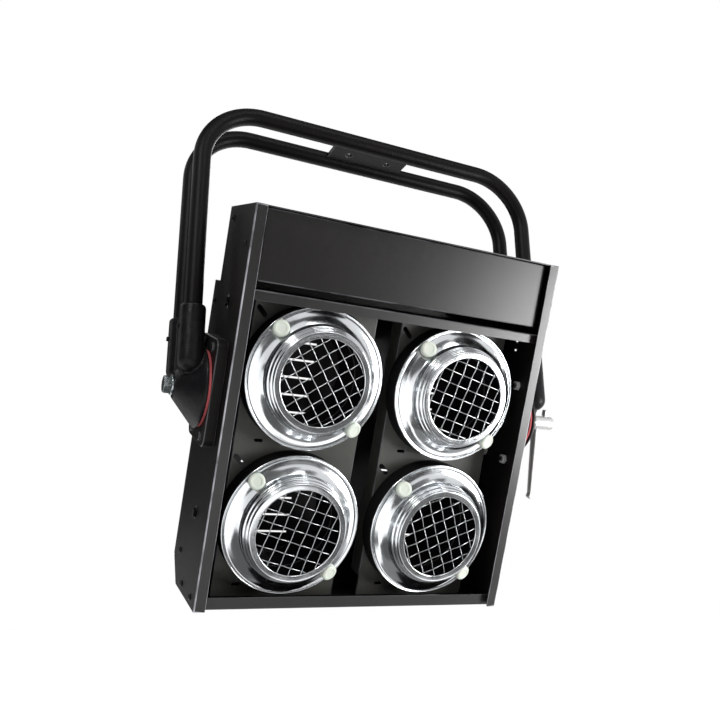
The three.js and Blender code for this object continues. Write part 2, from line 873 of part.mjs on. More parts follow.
function clampLever() {
  const hub = barX(leverHubRadius, -leverHubEnd, -leverHubStart, 0, 0, 16);
  const arm = new THREE.Shape();
  arm.absarc(0, 0, leverArmRoot / 2, 0, Math.PI, false);
  arm.absarc(0, -leverLength + leverArmTip / 2, leverArmTip / 2, Math.PI, Math.PI * 2, false);
  arm.closePath();
  const armBody = alongX(arm, -leverArmThickness, 0, 4)
    .rotate([0, leverArmLean, 0])
    .translate([-leverHubStart - leverArmStart, 0, 0]);
  const bore = barX(boltRadius + seatGap, -studEnd - seatGap, 0, 0, 0, 16);
  const screwHole = barZ(clampScrewRadius + seatGap, 0, leverHubRadius + overrun, -clampScrewX, 0, 12);
  return cut(joined(hub, armBody), bore, screwHole);
}

function clampScrew() {
  const low = boltRadius + seatGap;
  const seat = leverHubRadius + seatGap;
  const shank = barZ(clampScrewRadius, low, seat, -clampScrewX, 0, 12);
  const half = clampScrewHead / 2;
  const head = block(-clampScrewX - half, -clampScrewX + half, -half, half, seat, seat + clampScrewProud);
  return joined(shank, head);
}

// The light: the yoke stands still, and the housing is turned about the pivot to its rest tilt
const light = new THREE.Group();
const pivotDrop = -(barHeight + hangPlateThickness / 2);

const yoke = new THREE.Group();
yoke.position.set(0, 0, pivotDrop);
light.add(yoke);

const tilted = new THREE.Group();
tilted.position.set(0, 0, pivotDrop);
tilted.rotation.x = restTilt * degree;
light.add(tilted);

const housing = new THREE.Group();
housing.position.set(0, -pivotDepth, -pivotHeight);
tilted.add(housing);

const pivots = new THREE.Group();
tilted.add(pivots);

// Yoke pieces
piece(yoke, "yoke_tube_front", yokeTube(-halfPipes), blackPaint);
piece(yoke, "yoke_tube_rear", yokeTube(halfPipes), blackPaint);
piece(yoke, "hang_plate", hangPlate(), blackPaint);
piece(yoke, "yoke_end_left", yokeEnd(), castBlack);
piece(yoke, "yoke_end_right", mirroredX(yokeEnd()), castBlack);
for (const [name, y] of [
  ["front", -halfPipes],
  ["rear", halfPipes],
]) {
  piece(yoke, "socket_screw_left_" + name, grubScrew(y), zinc);
  piece(yoke, "socket_screw_right_" + name, mirroredX(grubScrew(y)), zinc);
}
piece(yoke, "friction_washer_left", frictionWasher(), redFibre);
piece(yoke, "friction_washer_right", mirroredX(frictionWasher()), redFibre);

// Pivot pieces
piece(pivots, "pivot_bolt_left", pivotBolt(), zinc);
piece(pivots, "pivot_washer_left", plainWasherBody(), zinc);
piece(pivots, "pivot_washer_right", mirroredX(plainWasherBody()), zinc);
piece(pivots, "pivot_stud_right", mirroredX(pivotStud()), zinc);
piece(pivots, "clamp_lever", mirroredX(clampLever()), zinc);
piece(pivots, "clamp_screw", mirroredX(clampScrew()), zinc);

// Housing pieces
piece(housing, "side_panel_left", sidePanel(), blackPaint);
piece(housing, "side_panel_right", mirroredX(sidePanel()), blackPaint);
piece(housing, "pivot_channel_left", pivotChannel(), blackPaint);
piece(housing, "pivot_channel_right", mirroredX(pivotChannel()), blackPaint);
for (const [name, height] of Object.entries(sideScrewHeights)) {
  piece(housing, "side_screw_left_" + name, sideScrew(height), zinc);
  piece(housing, "side_screw_right_" + name, mirroredX(sideScrew(height)), zinc);
}
piece(housing, "top_sheet", topSheet(), blackPaint);
piece(housing, "bay_ceiling", bayCeiling(), blackPaint);
piece(housing, "front_cover", frontCover(), blackPaint);
piece(housing, "bottom_sheet", bottomSheet(), blackPaint);
piece(housing, "back_cover", backCover(), blackPaint);
piece(housing, "lamp_plate_left", lampPlate(-1), greyPaint);
piece(housing, "lamp_plate_right", lampPlate(1), greyPaint);
piece(housing, "terminal_block", terminalBlock(), ceramic);
piece(housing, "earth_stud", earthStud(), zinc);
piece(housing, "cable_gland", cableGland(), blackNylon);

// Lamps
for (const [name, x, z] of lampCentres) {
  const lamp = new THREE.Group();
  lamp.position.set(x, 0, z);
  housing.add(lamp);
  piece(lamp, "bezel_" + name, bezel(), polished);
  piece(lamp, "wire_guard_" + name, wireGuard(guardTurns[name], guardShiftShares[name]), galvanised);
  piece(lamp, "lamp_can_" + name, lampCan(), sootBlack);
  piece(lamp, "lamp_holder_" + name, lampHolder(), ceramic);
  piece(lamp, "button_high_" + name, button(-135), nylon);
  piece(lamp, "button_low_" + name, button(45), nylon);
}

export default light;
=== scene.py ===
import json
import math

import bmesh
import bpy
from mathutils import Matrix, Vector


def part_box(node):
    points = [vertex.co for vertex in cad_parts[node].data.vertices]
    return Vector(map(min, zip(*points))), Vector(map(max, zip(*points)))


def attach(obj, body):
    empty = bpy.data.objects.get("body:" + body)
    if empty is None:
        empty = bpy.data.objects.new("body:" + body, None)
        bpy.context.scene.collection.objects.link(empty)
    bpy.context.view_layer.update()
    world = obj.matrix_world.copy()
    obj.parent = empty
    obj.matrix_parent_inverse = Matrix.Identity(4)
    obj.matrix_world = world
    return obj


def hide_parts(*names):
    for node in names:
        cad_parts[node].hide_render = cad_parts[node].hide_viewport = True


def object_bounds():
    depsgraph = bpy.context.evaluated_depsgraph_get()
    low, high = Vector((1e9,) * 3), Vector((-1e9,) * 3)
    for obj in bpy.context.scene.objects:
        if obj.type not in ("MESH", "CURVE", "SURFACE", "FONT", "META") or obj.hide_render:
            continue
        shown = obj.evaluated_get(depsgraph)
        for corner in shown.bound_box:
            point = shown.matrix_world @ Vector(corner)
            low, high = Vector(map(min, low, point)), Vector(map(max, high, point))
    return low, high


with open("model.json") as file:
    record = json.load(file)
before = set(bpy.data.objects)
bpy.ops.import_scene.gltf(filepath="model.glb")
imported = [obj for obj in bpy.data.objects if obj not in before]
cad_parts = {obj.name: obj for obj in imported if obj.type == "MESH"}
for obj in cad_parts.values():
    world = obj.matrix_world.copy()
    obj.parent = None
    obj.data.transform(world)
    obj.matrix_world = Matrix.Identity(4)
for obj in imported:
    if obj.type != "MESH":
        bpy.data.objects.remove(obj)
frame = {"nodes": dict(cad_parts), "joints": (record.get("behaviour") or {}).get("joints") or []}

bl_info = {
    "name": "Audience Blinder Light",
    "version": (1, 0, 0),
    "blender": (4, 5, 0),
    "location": "View3D > Sidebar > Blinder",
    "description": "Dresses the packed blinder light and sets it in a plain studio",
    "category": "Object",
}

CAD_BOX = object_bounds()
SIDES = {"left": -1, "right": 1}

# For each lamp, the turn in degrees at which its guard is cut from the mesh, and how far the guard's
# wires lie off centre both ways, in shares of the pitch
GUARDS = {
    "upper_left": (-35.5, 0.4, -0.16),
    "upper_right": (13.5, -0.1, -0.18),
    "lower_left": (15.5, -0.32, 0.1),
    "lower_right": (-24.0, -0.28, 0.3),
}

# Screws on each side panel as (Y, Z). The back cover's face, and its screws' columns and rows. The posts'
# places from the pivot's axis as (Y, Z).
PANEL_SCREWS = [
    (0.019, 0.425), (0.092, 0.455), (0.108, 0.033), (0.075, 0.003), (0.025, 0.008), (0.128, 0.352)
]
COVER_FACE, COVER_COLUMNS, COVER_ROWS = 0.1418, (-0.2, -0.004, 0.2), (0.028, 0.194, 0.366)
POSTS = [(-0.024, -0.052), (-0.024, 0.052), (0.024, -0.052), (0.024, 0.052)]

# The cable gland's turned section: radius, distance from the wall and rounding of each corner. The height
# of its nut, and its ribs' radius, distance from the axis, foot and top.
GLAND_SECTION = [
    (0.0045, 0.0, 0), (0.0125, 0.0, 0.0006), (0.0125, 0.0080, 0.0006), (0.0100, 0.0080, 0.0004),
    (0.0100, 0.0205, 0.001), (0.0078, 0.0240, 0.001), (0.0045, 0.0240, 0.0005),
]
GLAND_NUT, RIB_RADIUS, RIB_SEAT, RIB_FOOT, RIB_TOP = 0.0072, 0.0006, 0.0101, 0.0092, 0.0198

# Clearance between pieces that touch
SEAT_GAP = 0.0003

# The light's middle, and the studio's lamps: place, target, size and power
MIDDLE = (0.0, 0.0, -0.35)
SOFT_LAMPS = {
    "key_lamp": ((-1.6, -1.9, 1.2), MIDDLE, (0.7, 0.7), 27.0),
    "near_lamp": ((1.0, -0.82, -0.66), (0.2, -0.05, -0.4), (0.5, 0.54), 18.0),
    "front_lamp": ((0.5, -2.2, 1.3), MIDDLE, (1.0, 1.0), 20.0),
    "top_lamp": ((0.2, 0.4, 1.9), MIDDLE, (1.6, 1.2), 20.0),
    "back_lamp": ((0.9, 2.0, 0.6), MIDDLE, (1.2, 1.2), 18.0),
}

# Cards that only gloss sees, in five tones. Flat ones lie over the floor: a tone and the corners' X and Y.
# The others stand at a wall: its name, a tone, their span along it, and their foot and top, where None is
# the flat cards' level.
CARD_TONES = {"dark": 0.03, "shade": 0.07, "grey": 0.14, "middle": 0.28, "pale": 0.5}
CARD_LIFT, WALL_REACH, CEILING_HEIGHT = 0.03, 2.3, 1.7
FLAT_CARDS = {
    "rim_card": ("grey", [
        (-0.04, -0.36), (0.8, -0.36), (0.8, -0.88), (1.12, -0.95), (1.12, -1.5), (0.08, -1.5), (0.08, -0.8),
        (0.24, -0.75), (0.24, -0.6), (0.0, -0.54), (-0.04, -0.5),
    ]),
    "floor_right_card": ("pale", [(1.25, -0.34), (2.2, -0.34), (2.2, -1.5), (1.25, -1.5)]),
    "near_left_card": ("grey", [(-0.85, -0.3), (-0.1, -0.3), (-0.1, 0.4), (-0.85, 0.4)]),
    "near_middle_card": ("middle", [(-0.1, 0.4), (-0.1, -0.24), (0.5, -0.24), (0.5, 0.4)]),
    "near_right_card": ("pale", [(0.5, -0.24), (1.2, -0.24), (1.2, 0.4), (0.5, 0.4)]),
    "cover_left_card": ("dark", [(-0.3, -1.55), (1.2, -1.55), (1.2, -2.28), (-0.3, -2.28)]),
    "cover_right_card": ("grey", [(1.2, -1.55), (2.25, -1.55), (2.25, -2.28), (1.2, -2.28)]),
}
WALL_CARDS = {
    "front_left_card": ("front", "grey", (-1.7, -0.1), (None, 0.95)),
    "front_foot_card": ("front", "dark", (-0.1, 1.2), (None, -0.8)),
    "front_edge_card": ("front", "shade", (1.2, 2.2), (None, -0.8)),
    "front_low_card": ("front", "pale", (-0.1, 2.2), (-0.8, -0.6)),
    "front_upper_card": ("front", "grey", (-0.1, 0.7), (0.1, 0.8)),
    "front_high_card": ("front", "dark", (-0.1, 2.1), (0.8, 1.6)),
    "left_card": ("left", "dark", (-1.5, 0.6), (None, 0.9)),
    "right_card": ("right", "pale", (-2.2, -0.4), (None, -0.1)),
    "rear_card": ("rear", "dark", (-2.1, 0.1), (-0.4, 1.2)),
    "rear_low_card": ("rear", "pale", (-2.1, 0.1), (None, -0.4)),
}
CEILING_CARD = [(-1.6, -0.9), (-1.6, 1.8), (1.9, 1.8), (1.9, -0.9)]


# Properties


def kind_of(made, **settings):
    """A function that gives a property of this kind its name, default and description."""
    return lambda name, default, description: made(
        name=name, default=default, description=description, **settings
    )


length = kind_of(bpy.props.FloatProperty, precision=4, subtype="DISTANCE", unit="LENGTH")
turn = kind_of(bpy.props.FloatProperty, subtype="ANGLE", unit="ROTATION")
share = kind_of(bpy.props.FloatProperty, min=0.0, max=1.0, subtype="FACTOR")
colour = kind_of(bpy.props.FloatVectorProperty, size=3, min=0.0, max=1.0, subtype="COLOR")
position = kind_of(bpy.props.FloatVectorProperty, size=3, subtype="TRANSLATION", unit="LENGTH")


class HousingSizes(bpy.types.PropertyGroup):
    """Sizes of the folded housing, in its own frame: X right, Y back, Z up from the foot of its front."""

    half_width: length("Half width", 0.208, "From the middle to a side panel's outside")
    sheet: length("Sheet", 0.0015, "Thickness of the sheets")
    pivot_depth: length("Pivot depth", 0.063, "From the front to the pivot's axis")
    pivot_height: length("Pivot height", 0.250, "From the front's foot to the pivot's axis")
    rest_tilt: turn("Rest tilt", math.radians(23.8), "How far the housing leans in the yoke at rest")
    lamp_spread: length("Lamp spread", 0.196, "Between the axes of the left and right lamps")
    lamp_rise: length("Lamp rise", 0.182, "Between the axes of the lower and upper lamps")
    lower_lamp_height: length("Lower lamp height", 0.099, "From the front's foot to the lower lamps' axes")
    fold_radius: length("Fold radius", 0.0016, "Outside radius of the sheets' folds")
    edge_radius: length("Edge radius", 0.0003, "Rounding of the sheets' cut edges")


class FastenerSizes(bpy.types.PropertyGroup):
    """Sizes of the small screws, the nuts inside the bay and the cable gland."""

    screw_radius: length("Screw radius", 0.0036, "Radius of a small screw's head")
    screw_height: length("Screw height", 0.0022, "Height of a small screw's head")
    nut_flats: length("Nut flats", 0.0115, "Across the flats of a post's nut")
    nut_height: length("Nut height", 0.0045, "Height of a post's nut")
    gland_place: position("Gland place", (0.120, 0.1153, 0.424), "Foot of the cable gland")
    gland_flats: length("Gland flats", 0.024, "Across the flats of the gland's nut")


class LampSizes(bpy.types.PropertyGroup):
    """Sizes of one lamp, in its own frame: Y back along its axis from the housing's front."""

    bezel_radius: length("Bezel radius", 0.088, "Outside of the bell's rolled lip")
    lip_depth: length("Lip depth", 0.022, "From the housing's front back to the rolled lip")
    bezel_wall: length("Bezel wall", 0.0012, "Thickness of the spun metal")
    mouth_radius: length("Mouth radius", 0.0525, "Inside of the rim that holds the wire guard")
    mouth_proud: length("Mouth proud", 0.006, "How far the rim stands out of the front")
    barrel_radius: length("Barrel radius", 0.061, "Outside of the barrel at its mouth")
    barrel_step: length("Barrel step", 0.0025, "How much each step widens the barrel")
    bell_start: length("Bell start", 0.013, "Where the barrel turns out into the bell")
    can_radius: length("Can radius", 0.0865, "Outside of the can's drum")
    wire_pitch: length("Wire pitch", 0.0148, "Between the wires of the guard")
    wire_radius: length("Wire radius", 0.00064, "Radius of the guard's wire")
    button_radius: length("Button radius", 0.0100, "Radius of a retaining button")
    button_height: length("Button height", 0.0080, "Height of a retaining button")
    button_seat: length("Button seat", 0.077, "From the lamp's axis to a retaining button")


class YokeSizes(bpy.types.PropertyGroup):
    """Sizes of the yoke, from the pivot's axis."""

    pipe_radius: length("Tube radius", 0.011, "Outside radius of the yoke's tubes")
    pipe_spacing: length("Tube spacing", 0.056, "Between the front and the rear tube")
    leg_spread: length("Leg spread", 0.490, "Between the two legs of a tube")
    bar_height: length("Bar height", 0.366, "From the pivot's axis to the bar")
    bend_radius: length("Bend radius", 0.078, "Middle radius of the tubes' bends")
    socket_radius: length("Socket radius", 0.0155, "Outside of the castings' sockets")
    socket_top: length("Socket top", 0.090, "Height of the sockets' mouths")
    tube_foot: length("Tube foot", 0.0303, "Height of the tubes' lower ends")
    hub_base: length("Hub base", 0.2256, "From the middle of the light to the hub's wide end")
    hub_nose: length("Hub nose", 0.257, "From the middle of the light to the hub's narrow end")
    hub_rim_radius: length("Hub rim radius", 0.048, "Radius of the hub's wide end")
    hub_nose_radius: length("Hub nose radius", 0.015, "Radius of the hub's narrow end")
    web_thickness: length("Web thickness", 0.016, "Thickness of the web between the sockets")


class PivotSizes(bpy.types.PropertyGroup):
    """Sizes of the pivots' fastenings, from the middle of the light."""

    washer_face: length("Washer face", 0.2223, "Inner face of the friction washer")
    friction_radius: length("Friction radius", 0.046, "Radius of the friction washer")
    friction_thickness: length("Friction thickness", 0.003, "Thickness of the friction washer")
    bolt_radius: length("Bolt radius", 0.006, "Radius of the pivot bolt")
    bolt_flats: length("Bolt flats", 0.019, "Across the flats of the bolt's head")
    bolt_head: length("Bolt head", 0.008, "Height of the bolt's head")
    plain_washer_radius: length("Washer radius", 0.012, "Radius of the plain washer")
    plain_washer: length("Washer thickness", 0.0025, "Thickness of the plain washer")
    lever_hub_radius: length("Lever hub radius", 0.010, "Radius of the lever's hub")
    lever_hub_end: length("Lever hub end", 0.294, "Outer end of the lever's hub")
    lever_arm_thickness: length("Lever arm thickness", 0.0055, "Thickness of the arm")
    lever_arm_root: length("Lever arm root", 0.015, "Width of the arm at the hub")
    lever_arm_tip: length("Lever arm tip", 0.009, "Width of the arm at its end")
    lever_length: length("Lever length", 0.114, "From the axis to the arm's end")
    lever_lean: turn("Lever lean", math.radians(7.5), "How far the arm leans away from the housing")
    clamp_screw_head: length("Clamp screw head", 0.008, "Width of the clamp screw's square head")
    clamp_screw_proud: length("Clamp screw height", 0.009, "Height of the clamp screw's head")


class FinishColours(bpy.types.PropertyGroup):
    """Colours of the light's finishes."""

    black_paint: colour("Black paint", (0.0088, 0.0080, 0.0076), "Satin powder coat of housing and yoke")
    worn_paint: colour("Worn paint", (0.050, 0.050, 0.054), "Powder coat rubbed thin along edges")
    # Partly edge wear and partly a painted highlight: the bright line along the flanges' folds.
    bare_edge_and_highlight: colour("Bare edge", (0.34, 0.34, 0.37), "Steel that shows along the flanges' folds")
    grey_paint: colour("Grey paint", (0.052, 0.052, 0.046), "Paint of the lamp plates")
    casting_paint: colour("Casting paint", (0.0060, 0.0056, 0.0064), "Coarse paint of the end castings")
    polished: colour("Polished metal", (0.68, 0.70, 0.72), "Spun and polished aluminium")
    wire: colour("Wire", (0.46, 0.48, 0.49), "Galvanised wire of the guards")
    zinc: colour("Zinc", (0.36, 0.40, 0.41), "Zinc plate of bolts and washers")
    lever: colour("Lever", (0.62, 0.62, 0.61), "Tumbled metal of the clamp lever")
    # Near white and only partly metallic: a painted highlight on the nuts, which sit in shade inside the
    # bay.
    post_nut_painted_highlight: colour("Post nut", (0.80, 0.80, 0.79), "Dull zinc of the nuts inside the bay")
    black_oxide: colour("Black oxide", (0.020, 0.020, 0.022), "Small blackened screws")
    soot: colour("Soot", (0.0060, 0.0058, 0.0062), "Matt black inside and outside of the cans")
    nylon: colour("Nylon", (0.58, 0.62, 0.55), "Cream plastic of the buttons")
    fibre: colour("Friction fibre", (0.40, 0.075, 0.080), "Red fibre of the friction washers")
    ceramic: colour("Ceramic", (0.78, 0.75, 0.67), "Glazed ceramic of holders and terminals")
    gland: colour("Gland", (0.012, 0.012, 0.013), "Black plastic of the cable gland")


class StudioSizes(bpy.types.PropertyGroup):
    """The camera and the plain studio round the light."""

    camera_place: position("Camera place", (-0.42206, -0.85277, -0.59360), "Where the camera stands")
    camera_rise: turn("Camera rise", math.radians(106.756), "How far the camera looks up from straight down")
    camera_roll: turn("Camera roll", math.radians(0.390), "How far the camera leans to its side")
    camera_swing: turn("Camera swing", math.radians(-25.406), "How far the camera looks aside")
    lens: bpy.props.FloatProperty(
        name="Lens", description="Focal length on a 36 mm frame", default=37.347, subtype="DISTANCE_CAMERA"
    )
    floor_drop: length("Floor drop", 0.45, "From the light's lowest point to the floor")
    floor_white: colour("Floor white", (0.80, 0.80, 0.80), "Colour of the floor")
    floor_lift: share("Floor lift", 0.86, "How much the floor is lifted to white in view")
    room_light: share("Room light", 0.35, "Level of the surroundings as light")


SIZE_GROUPS = {
    "blinder_housing": HousingSizes,
    "blinder_fasteners": FastenerSizes,
    "blinder_lamp": LampSizes,
    "blinder_yoke": YokeSizes,
    "blinder_pivot": PivotSizes,
    "blinder_colours": FinishColours,
    "blinder_studio": StudioSizes,
}


# Places in the shared frame


def yoke_place():
    """The yoke's own frame, with the pivot's axis at its origin."""
    return Matrix.Translation(next(j["pos_m"] for j in frame["joints"] if j["name"] == "housing_tilt"))


def tilted_place():
    """The frame of the pivot pieces, which lean with the housing."""
    return yoke_place() @ Matrix.Rotation(bpy.context.scene.blinder_housing.rest_tilt, 4, "X")


def housing_place():
    """The housing's own frame."""
    s = bpy.context.scene.blinder_housing
    return tilted_place() @ Matrix.Translation((0.0, -s.pivot_depth, -s.pivot_height))


def lamp_place(lamp):
    """The frame of one lamp, with Y along its axis."""
    s = bpy.context.scene.blinder_housing
    x = s.lamp_spread / 2 * (-1 if lamp.endswith("left") else 1)
    z = s.lower_lamp_height + (s.lamp_rise if lamp.startswith("upper") else 0.0)
    return housing_place() @ Matrix.Translation((x, 0.0, z))


def quarter_turn(axis, turns=1):
    return Matrix.Rotation(turns * math.pi / 2, 4, axis)


# Turns a piece made along Y so that it lies along X
ALONG_X = quarter_turn("Z", -1)


# Outlines


def spokes(count):
    """Angles of the given number of equal steps round a circle."""
    return [2 * math.pi * k / count for k in range(count)]


def rounded(corners, steps=5, closed=False):
    """A line through (a, b, radius) corners, each turned on an arc of its radius."""
    out = []
    count, most = len(corners), 0.49
    for i, (a, b, radius) in enumerate(corners):
        here = Vector((a, b))
        if radius <= 0 or (not closed and i in (0, count - 1)):
            out.append(here)
            continue
        back = Vector(corners[i - 1][:2]) - here
        ahead = Vector(corners[(i + 1) % count][:2]) - here
        half = back.angle(ahead) / 2
        reach = min(radius / math.tan(half), most * back.length, most * ahead.length)
        middle = here + (back.normalized() + ahead.normalized()).normalized() * reach / math.cos(half)
        start = here + back.normalized() * reach - middle
        end = here + ahead.normalized() * reach - middle
        for k in range(steps + 1):
            out.append(middle + start.lerp(end, k / steps).normalized() * start.length)
    return out


def sheet_section(corners, thickness, steps=5):
    """The closed section of a sheet whose face follows the corners, thickened to the face's right."""
    face = rounded(corners, steps)
    other = []
    for i, p in enumerate(face):
        way = (face[min(i + 1, len(face) - 1)] - face[max(i - 1, 0)]).normalized()
        other.append(p + Vector((way.y, -way.x)) * thickness)
    return face + other[::-1]


# Meshes


def bands(rings, closed=False, capped=False):
    """Faces between each ring of corners and the next, and over both ends if these are capped."""
    faces = [tuple(rings[0]), tuple(rings[-1])] if capped else []
    for one, two in zip(rings, rings[1:] + (rings[:1] if closed else [])):
        for k in range(len(one)):
            n = (k + 1) % len(one)
            loop = tuple(dict.fromkeys((one[k], one[n], two[n], two[k])))
            if len(loop) > 2:
                faces.append(loop)
    return faces


def turned(section, sides=96, closed=False):
    """(corners, faces) of a section of (radius, depth) pairs turned round Y."""
    corners, rings = [], []
    for radius, depth in section:
        start = len(corners)
        if radius < 1e-7:
            rings.append([start] * sides)
            corners.append((0.0, depth, 0.0))
        else:
            rings.append(range(start, start + sides))
            corners += [(radius * math.cos(a), depth, radius * math.sin(a)) for a in spokes(sides)]
    return corners, bands(rings, closed)


def swept(points, radius, sides=12, squash=1.0, closed=False):
    """(corners, faces) of a round bar along a line of points, with capped ends."""
    count = len(points)
    corners = []
    side = Vector((0, 1, 0)) if abs((points[1] - points[0]).normalized().y) < 0.9 else Vector((1, 0, 0))
    for i, p in enumerate(points):
        before = points[i - 1] if i or closed else p
        after = points[(i + 1) % count] if i < count - 1 or closed else p
        way = (after - before).normalized()
        side = (side - way * side.dot(way)).normalized()
        across = way.cross(side)
        r = radius(i / (count - 1)) if callable(radius) else radius
        for a in spokes(sides):
            corners.append(p + side * (r * math.cos(a)) + across * (r * squash * math.sin(a)))
    return corners, bands([range(i * sides, (i + 1) * sides) for i in range(count)], closed, not closed)


def prism(outline, low, high):
    """(corners, faces) of an outline in Y and Z carried along X."""
    count = len(outline)
    corners = [(x, y, z) for x in (low, high) for y, z in outline]
    return corners, bands([range(count), range(count, 2 * count)], capped=True)


def moved(part, place):
    corners, faces = part
    return [place @ Vector(c) for c in corners], faces


def hexagon_head(flats, height):
    """(corners, faces) of a chamfered six-sided head that stands from Y 0 to -height."""
    inner, sixth, chamfer, sides = 0.96 * flats / 2, math.pi / 3, math.tan(math.radians(30)), 96
    corners = []
    for a in spokes(sides):
        r = flats / 2 / math.cos(a % sixth - sixth / 2)
        rim = -height + max(0.0, r - inner) * chamfer
        row = [(r, 0.0), (r, rim), (inner, -height), (0.9 * inner, -height)]
        corners += [(radius * math.cos(a), y, radius * math.sin(a)) for radius, y in row]
    return corners, bands([range(j, 4 * sides, 4) for j in range(4)], capped=True)


def tidied(mesh, smooth=35.0):
    """The mesh with its faces turned outwards, smooth where they meet at less than an angle."""
    work = bmesh.new()
    work.from_mesh(mesh)
    bmesh.ops.recalc_face_normals(work, faces=work.faces)
    work.to_mesh(mesh)
    work.free()
    mesh.shade_smooth()
    mesh.set_sharp_from_angle(angle=math.radians(smooth))
    return mesh


def mesh_from(*parts, smooth=35.0):
    """One mesh of several (corners, faces) parts."""
    corners, faces = [], []
    for part_corners, part_faces in parts:
        start = len(corners)
        corners += [tuple(c) for c in part_corners]
        faces += [tuple(start + v for v in face) for face in part_faces]
    mesh = bpy.data.meshes.new("part")
    mesh.from_pydata(corners, [], faces)
    return tidied(mesh, smooth)


def mirrored(mesh):
    """A copy of the mesh on the other side of the light."""
    copy = mesh.copy()
    copy.transform(Matrix.Scale(-1, 4, (1, 0, 0)))
    copy.flip_normals()
    return tidied(copy)


def joined_mesh(*meshes):
    """One mesh that holds copies of several."""
    work = bmesh.new()
    for mesh in meshes:
        work.from_mesh(mesh)
    out = bpy.data.meshes.new("joined")
    work.to_mesh(out)
    work.free()
    return tidied(out)


def spread_copies(mesh, places):
    """One mesh with a copy of another at each place."""
    copies = [mesh.copy() for _ in places]
    for copy, place in zip(copies, places):
        copy.transform(place)
    return joined_mesh(*copies)


def worked(mesh, *steps):
    """The mesh after the given modifiers, each a (kind, settings) pair."""
    blank = bpy.data.objects.new("blank", mesh)
    bpy.context.scene.collection.objects.link(blank)
    for kind, settings in steps:
        modifier = blank.modifiers.new(kind, kind)
        for key, value in settings.items():
            setattr(modifier, key, value)
    graph = bpy.context.evaluated_depsgraph_get()
    out = bpy.data.meshes.new_from_object(blank.evaluated_get(graph))
    bpy.data.objects.remove(blank)
    return out


def blended(parts, cell, passes=6):
    """A mesh in which the parts run into each other, as in a casting."""
    remesh = "REMESH", {"mode": "VOXEL", "voxel_size": cell}
    smooth = "SMOOTH", {"factor": 0.5, "iterations": passes}
    return tidied(worked(mesh_from(*parts), remesh, smooth), 60.0)


def piece(node, ending, mesh, place, slot, *finishes, body="housing", extra=False):
    """Adds an object named after a node, which stands for the node or is an extra piece beside it."""
    mesh.name = f"{node}_{ending}"
    obj = bpy.data.objects.new(mesh.name, mesh)
    bpy.context.scene.collection.objects.link(obj)
    obj.matrix_world = place
    for name in finishes:
        mesh.materials.append(finish_of(name))
    bpy.context.view_layer.update()
    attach(obj, body)
    if not extra:
        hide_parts(node)


def folded_copy(node, face, edge, slot="black_paint", body="housing", fold=None, front=None):
    """Copies a sheet node with its folds and cut edges rounded, as the piece that stands for the node.

    face, edge and front are finishes, the last for faces that look to the housing's front.
    """
    s = bpy.context.scene.blinder_housing
    fold = fold or s.fold_radius
    merge_reach, flat_angle, fold_angle, inner_fold = 1e-5, math.radians(2), math.radians(25), 0.3
    mesh = frame["nodes"][node].data.copy()
    work = bmesh.new()
    work.from_mesh(mesh)
    bmesh.ops.remove_doubles(work, verts=work.verts, dist=merge_reach)
    bmesh.ops.dissolve_limit(work, angle_limit=flat_angle, verts=work.verts, edges=work.edges)
    weights = work.edges.layers.float.new("bevel_weight_edge")
    for line in work.edges:
        if not line.is_manifold or line.calc_face_angle(0) < fold_angle:
            continue
        width = min(side.calc_area() for side in line.link_faces) / line.calc_length()
        if width < 2 * fold:
            line[weights] = s.edge_radius / fold
        else:
            line[weights] = 1.0 if line.is_convex else inner_fold
    bmesh.ops.triangulate(work, faces=work.faces)
    work.to_mesh(mesh)
    work.free()
    mesh.shade_smooth()
    mesh.materials.clear()
    for name in (face, edge, front or face):
        mesh.materials.append(finish_of(name))
    ahead = housing_place().to_3x3() @ Vector((0, -1, 0))
    for polygon in mesh.polygons:
        polygon.material_index = 2 if polygon.normal.dot(ahead) > 0.99 else 0
    bevel = {"limit_method": "WEIGHT", "width": fold, "segments": 4, "material": 1,
             "use_clamp_overlap": False, "loop_slide": False, "miter_outer": "MITER_ARC"}
    out = worked(mesh, ("BEVEL", bevel), ("WEIGHTED_NORMAL", {"mode": "FACE_AREA", "weight": 100}))
    piece(node, "sheet", out, Matrix.Identity(4), slot, body=body)


def dressed(node, name):
    """Gives a CAD node that stays in view the finish of that name."""
    materials = frame["nodes"][node].data.materials
    materials.clear()
    materials.append(finish_of(name))


# Finishes


def added(tree, kind, inputs, output, **settings):
    """An output of a new shader node, whose inputs are linked to sockets or set to values."""
    made = tree.nodes.new("ShaderNode" + kind)
    for key, value in settings.items():
        setattr(made, key, value)
    for key, value in inputs.items():
        if isinstance(value, bpy.types.NodeSocket):
            tree.links.new(value, made.inputs[key])
        else:
            made.inputs[key].default_value = value
    return made.outputs[output]


def noise(tree, size, detail, ringed=False, stretch=None):
    """A noise with cells of the given size, in rings round Y as on spun metal, or stretched."""
    spot = added(tree, "TexCoord", {}, "Object")
    if ringed:
        x, y, z = (added(tree, "SeparateXYZ", {"Vector": spot}, axis) for axis in "XYZ")
        across = added(tree, "CombineXYZ", {"X": x, "Z": z}, "Vector")
        far = added(tree, "VectorMath", {0: across}, "Value", operation="LENGTH")
        spot = added(tree, "CombineXYZ", {"X": far, "Y": y}, "Vector")
    if stretch:
        spot = added(tree, "Mapping", {"Vector": spot, "Scale": stretch}, "Vector")
    return added(tree, "TexNoise", {"Vector": spot, "Scale": 1.0 / size, "Detail": detail}, "Fac")


def scaled(tree, value, start, end, low, high):
    """A value spread from start and end to low and high."""
    ends = {"Value": value, "From Min": start, "From Max": end, "To Min": low, "To Max": high}
    return added(tree, "MapRange", ends, "Result")


def shade(tint, factor):
    return tuple(min(1.0, c * factor) for c in tint)


